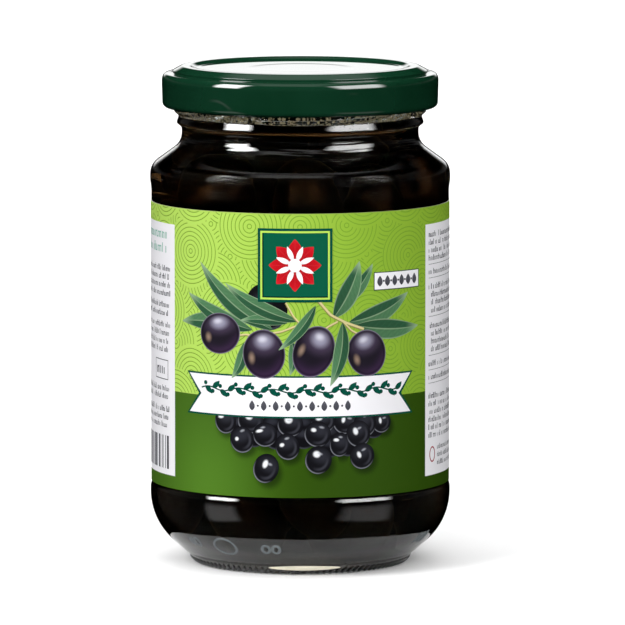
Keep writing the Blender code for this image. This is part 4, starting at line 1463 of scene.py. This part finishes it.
@dataclass
class Studio:
    """Camera, lights, world and floor."""

    distance: float = 1.90
    camera_height: float = 0.275
    aim_z: float = 0.0603
    shift_right: float = 0.00298
    lens: float = 454.9
    sensor: float = 36.0
    back_glow: float = 1.6
    light_distance: float = 1.2
    strip_fade: float = 0.24
    floor_z: float = -0.1
    rest_radius: float = 38.8
    floor_radius: float = 9000.0

    def build_camera(self) -> None:
        """Camera 1.9 m in front of the jar, looking 6.45 degrees down at its middle."""
        data = bpy.data.cameras.new("camera")
        data.lens = self.lens
        data.sensor_width = self.sensor
        data.clip_start = 0.05
        data.clip_end = 50
        camera = bpy.data.objects.new("camera", data)
        camera.location = (self.shift_right, -self.distance, self.camera_height)
        aim = Vector((self.shift_right, 0, self.aim_z)) - camera.location
        camera.rotation_euler = aim.to_track_quat("-Z", "Y").to_euler()
        bpy.context.scene.collection.objects.link(camera)
        bpy.context.scene.camera = camera

    def aimed(self, data: bpy.types.Light, azimuth: float, elevation: float) -> bpy.types.Object:
        """Puts a light at its azimuth from the front and its elevation, in degrees, facing the jar."""
        light = bpy.data.objects.new(data.name, data)
        turn, rise = math.radians(azimuth), math.radians(elevation)
        away = Vector((math.sin(turn) * math.cos(rise), -math.cos(turn) * math.cos(rise), math.sin(rise)))
        light.location = Vector((0, 0, self.aim_z)) + away * self.light_distance
        light.rotation_euler = away.to_track_quat("Z", "Y").to_euler()
        bpy.context.scene.collection.objects.link(light)
        return light

    def add_strip(self, name: str, azimuth: float, elevation: float, size: tuple[float, float],
                  radiance: float) -> None:
        """A softbox that shows in glossy surfaces.

        Args:
            name: name of the light.
            azimuth: degrees from the front, positive to the right.
            elevation: degrees above level.
            size: width and height in metres.
            radiance: brightness of its face, where a white sheet in full light reads 1.
        """
        data = bpy.data.lights.new(name, "AREA")
        data.shape = "RECTANGLE"
        data.size, data.size_y = size
        data.energy = radiance * 4 * size[0] * size[1]
        self.soften(data)
        self.aimed(data, azimuth, elevation).visible_diffuse = False

    def soften(self, data: bpy.types.Light) -> None:
        """Lets a softbox fade towards its edges: full in the middle, by a smooth ramp to 0 at each edge.

        The parametric output of an area light runs from 0 to 1 both across and up its face.
        """
        data.use_nodes = True
        tree = data.node_tree
        face = add_node(tree, "ShaderNodeSeparateXYZ",
                        {"Vector": add_node(tree, "ShaderNodeNewGeometry").outputs["Parametric"]})
        ramps = []
        for axis in "XY":
            away = maths(tree, "ABSOLUTE", maths(tree, "SUBTRACT", face.outputs[axis], 0.5))
            ramps.append(ramp(tree, away, 0.5 - self.strip_fade, 0.5, 1.0, 0.0))
        tree.links.new(maths(tree, "MULTIPLY", *ramps), tree.nodes["Emission"].inputs["Strength"])

    def add_wash(self, name: str, azimuth: float, elevation: float, spread: float, strength: float) -> None:
        """Soft light from far away that falls evenly on dull surfaces.

        Args:
            name: name of the light.
            azimuth: degrees from the front, positive to the right.
            elevation: degrees above level.
            spread: width of the source as seen from the jar, in degrees.
            strength: light that falls on a surface facing it, in watts a square metre.
        """
        data = bpy.data.lights.new(name, "SUN")
        data.angle = math.radians(spread)
        data.energy = strength
        self.aimed(data, azimuth, elevation).visible_glossy = False

    def build_world(self) -> None:
        """Room light: bright behind the jar from the horizon up, dim in front, overhead and below."""
        world = bpy.data.worlds.new("room")
        bpy.context.scene.world = world
        world.use_nodes = True
        tree = world.node_tree
        shader = tree.nodes["Background"]
        way = add_node(tree, "ShaderNodeSeparateXYZ",
                       {"Vector": add_node(tree, "ShaderNodeTexCoord").outputs["Generated"]})
        glow = ramp(tree, way.outputs["Y"], 0.93, 0.985, 0.04, 1.0)
        for limit in (ramp(tree, way.outputs["Z"], 0.13, 0.25, 1.0, 0.0),
                      ramp(tree, way.outputs["Z"], 0.03, 0.09)):
            glow = maths(tree, "MULTIPLY", glow, limit)
        tree.links.new(maths(tree, "MULTIPLY", glow, self.back_glow), shader.inputs["Strength"])
        shader.inputs["Color"].default_value = (1, 1, 1, 1)

    def build_floor(self) -> None:
        """Plain white floor in one plane: a rest under the jar that glass mirrors, and the rest of it."""
        paper = Finish("white_floor_paper", "fcfcfc", 0.9, specular=0.0, mottle="fafafa",
                       mottle_grain_mm=30.0).build()
        steps = 128
        inner, outer = (around_axis(radius, full_turn(steps), self.floor_z)
                        for radius in (self.rest_radius, self.floor_radius))
        rest = put_mesh("studio_rest", inner, [list(range(steps))], paper)
        floor = put_mesh("studio_floor", np.concatenate([inner, outer]),
                         grid_quads(2, steps, True).tolist(), paper)
        floor.visible_glossy = False
        floor.visible_diffuse = False

    def build(self) -> None:
        """Sets up the studio."""
        bpy.context.scene.view_settings.view_transform = "Standard"
        self.build_camera()
        self.build_world()
        self.build_floor()
        for strip in STRIPS:
            self.add_strip(*strip)
        for wash in WASHES:
            self.add_wash(*wash)


def dress(piece: bpy.types.Object, slot: str, *nodes: str) -> None:
    """Rides a piece on the jar's body, hides the imported nodes that it stands for and logs its material
    slot.
    """
    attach(piece, BODY)
    if nodes:
        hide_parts(*nodes)
    LOG.info("%s: %d faces, slot %s", piece.name, len(piece.data.polygons), slot)


def main() -> None:
    """Builds the studio and every piece of the jar."""
    logging.basicConfig(level=logging.INFO, format="%(name)s %(message)s")
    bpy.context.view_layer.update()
    Studio().build()
    glass = JarGlass()
    dress(glass.build(), "glass", "jar_glass")
    dress(glass.build_marks(), "glass")
    dress(glass.build_knurls(), "glass")
    dress(glass.build_foot_bead(), "glass")
    contents = Contents(glass)
    dress(contents.build_olives(), "olive_skin", "olives")
    dress(contents.build_core(), "olive_skin")
    dress(contents.build_brine(), "olive_skin")
    dress(contents.build_drops(), "glass")
    dress(TwistLid().build(), "lid_lacquer", "lid")
    label = LabelFrame()
    dress(label.build_paper(), "label_paper", "label")
    for piece in LabelPrint(label).build():
        dress(piece, "label_paper")


if __name__ == "__main__":
    main()
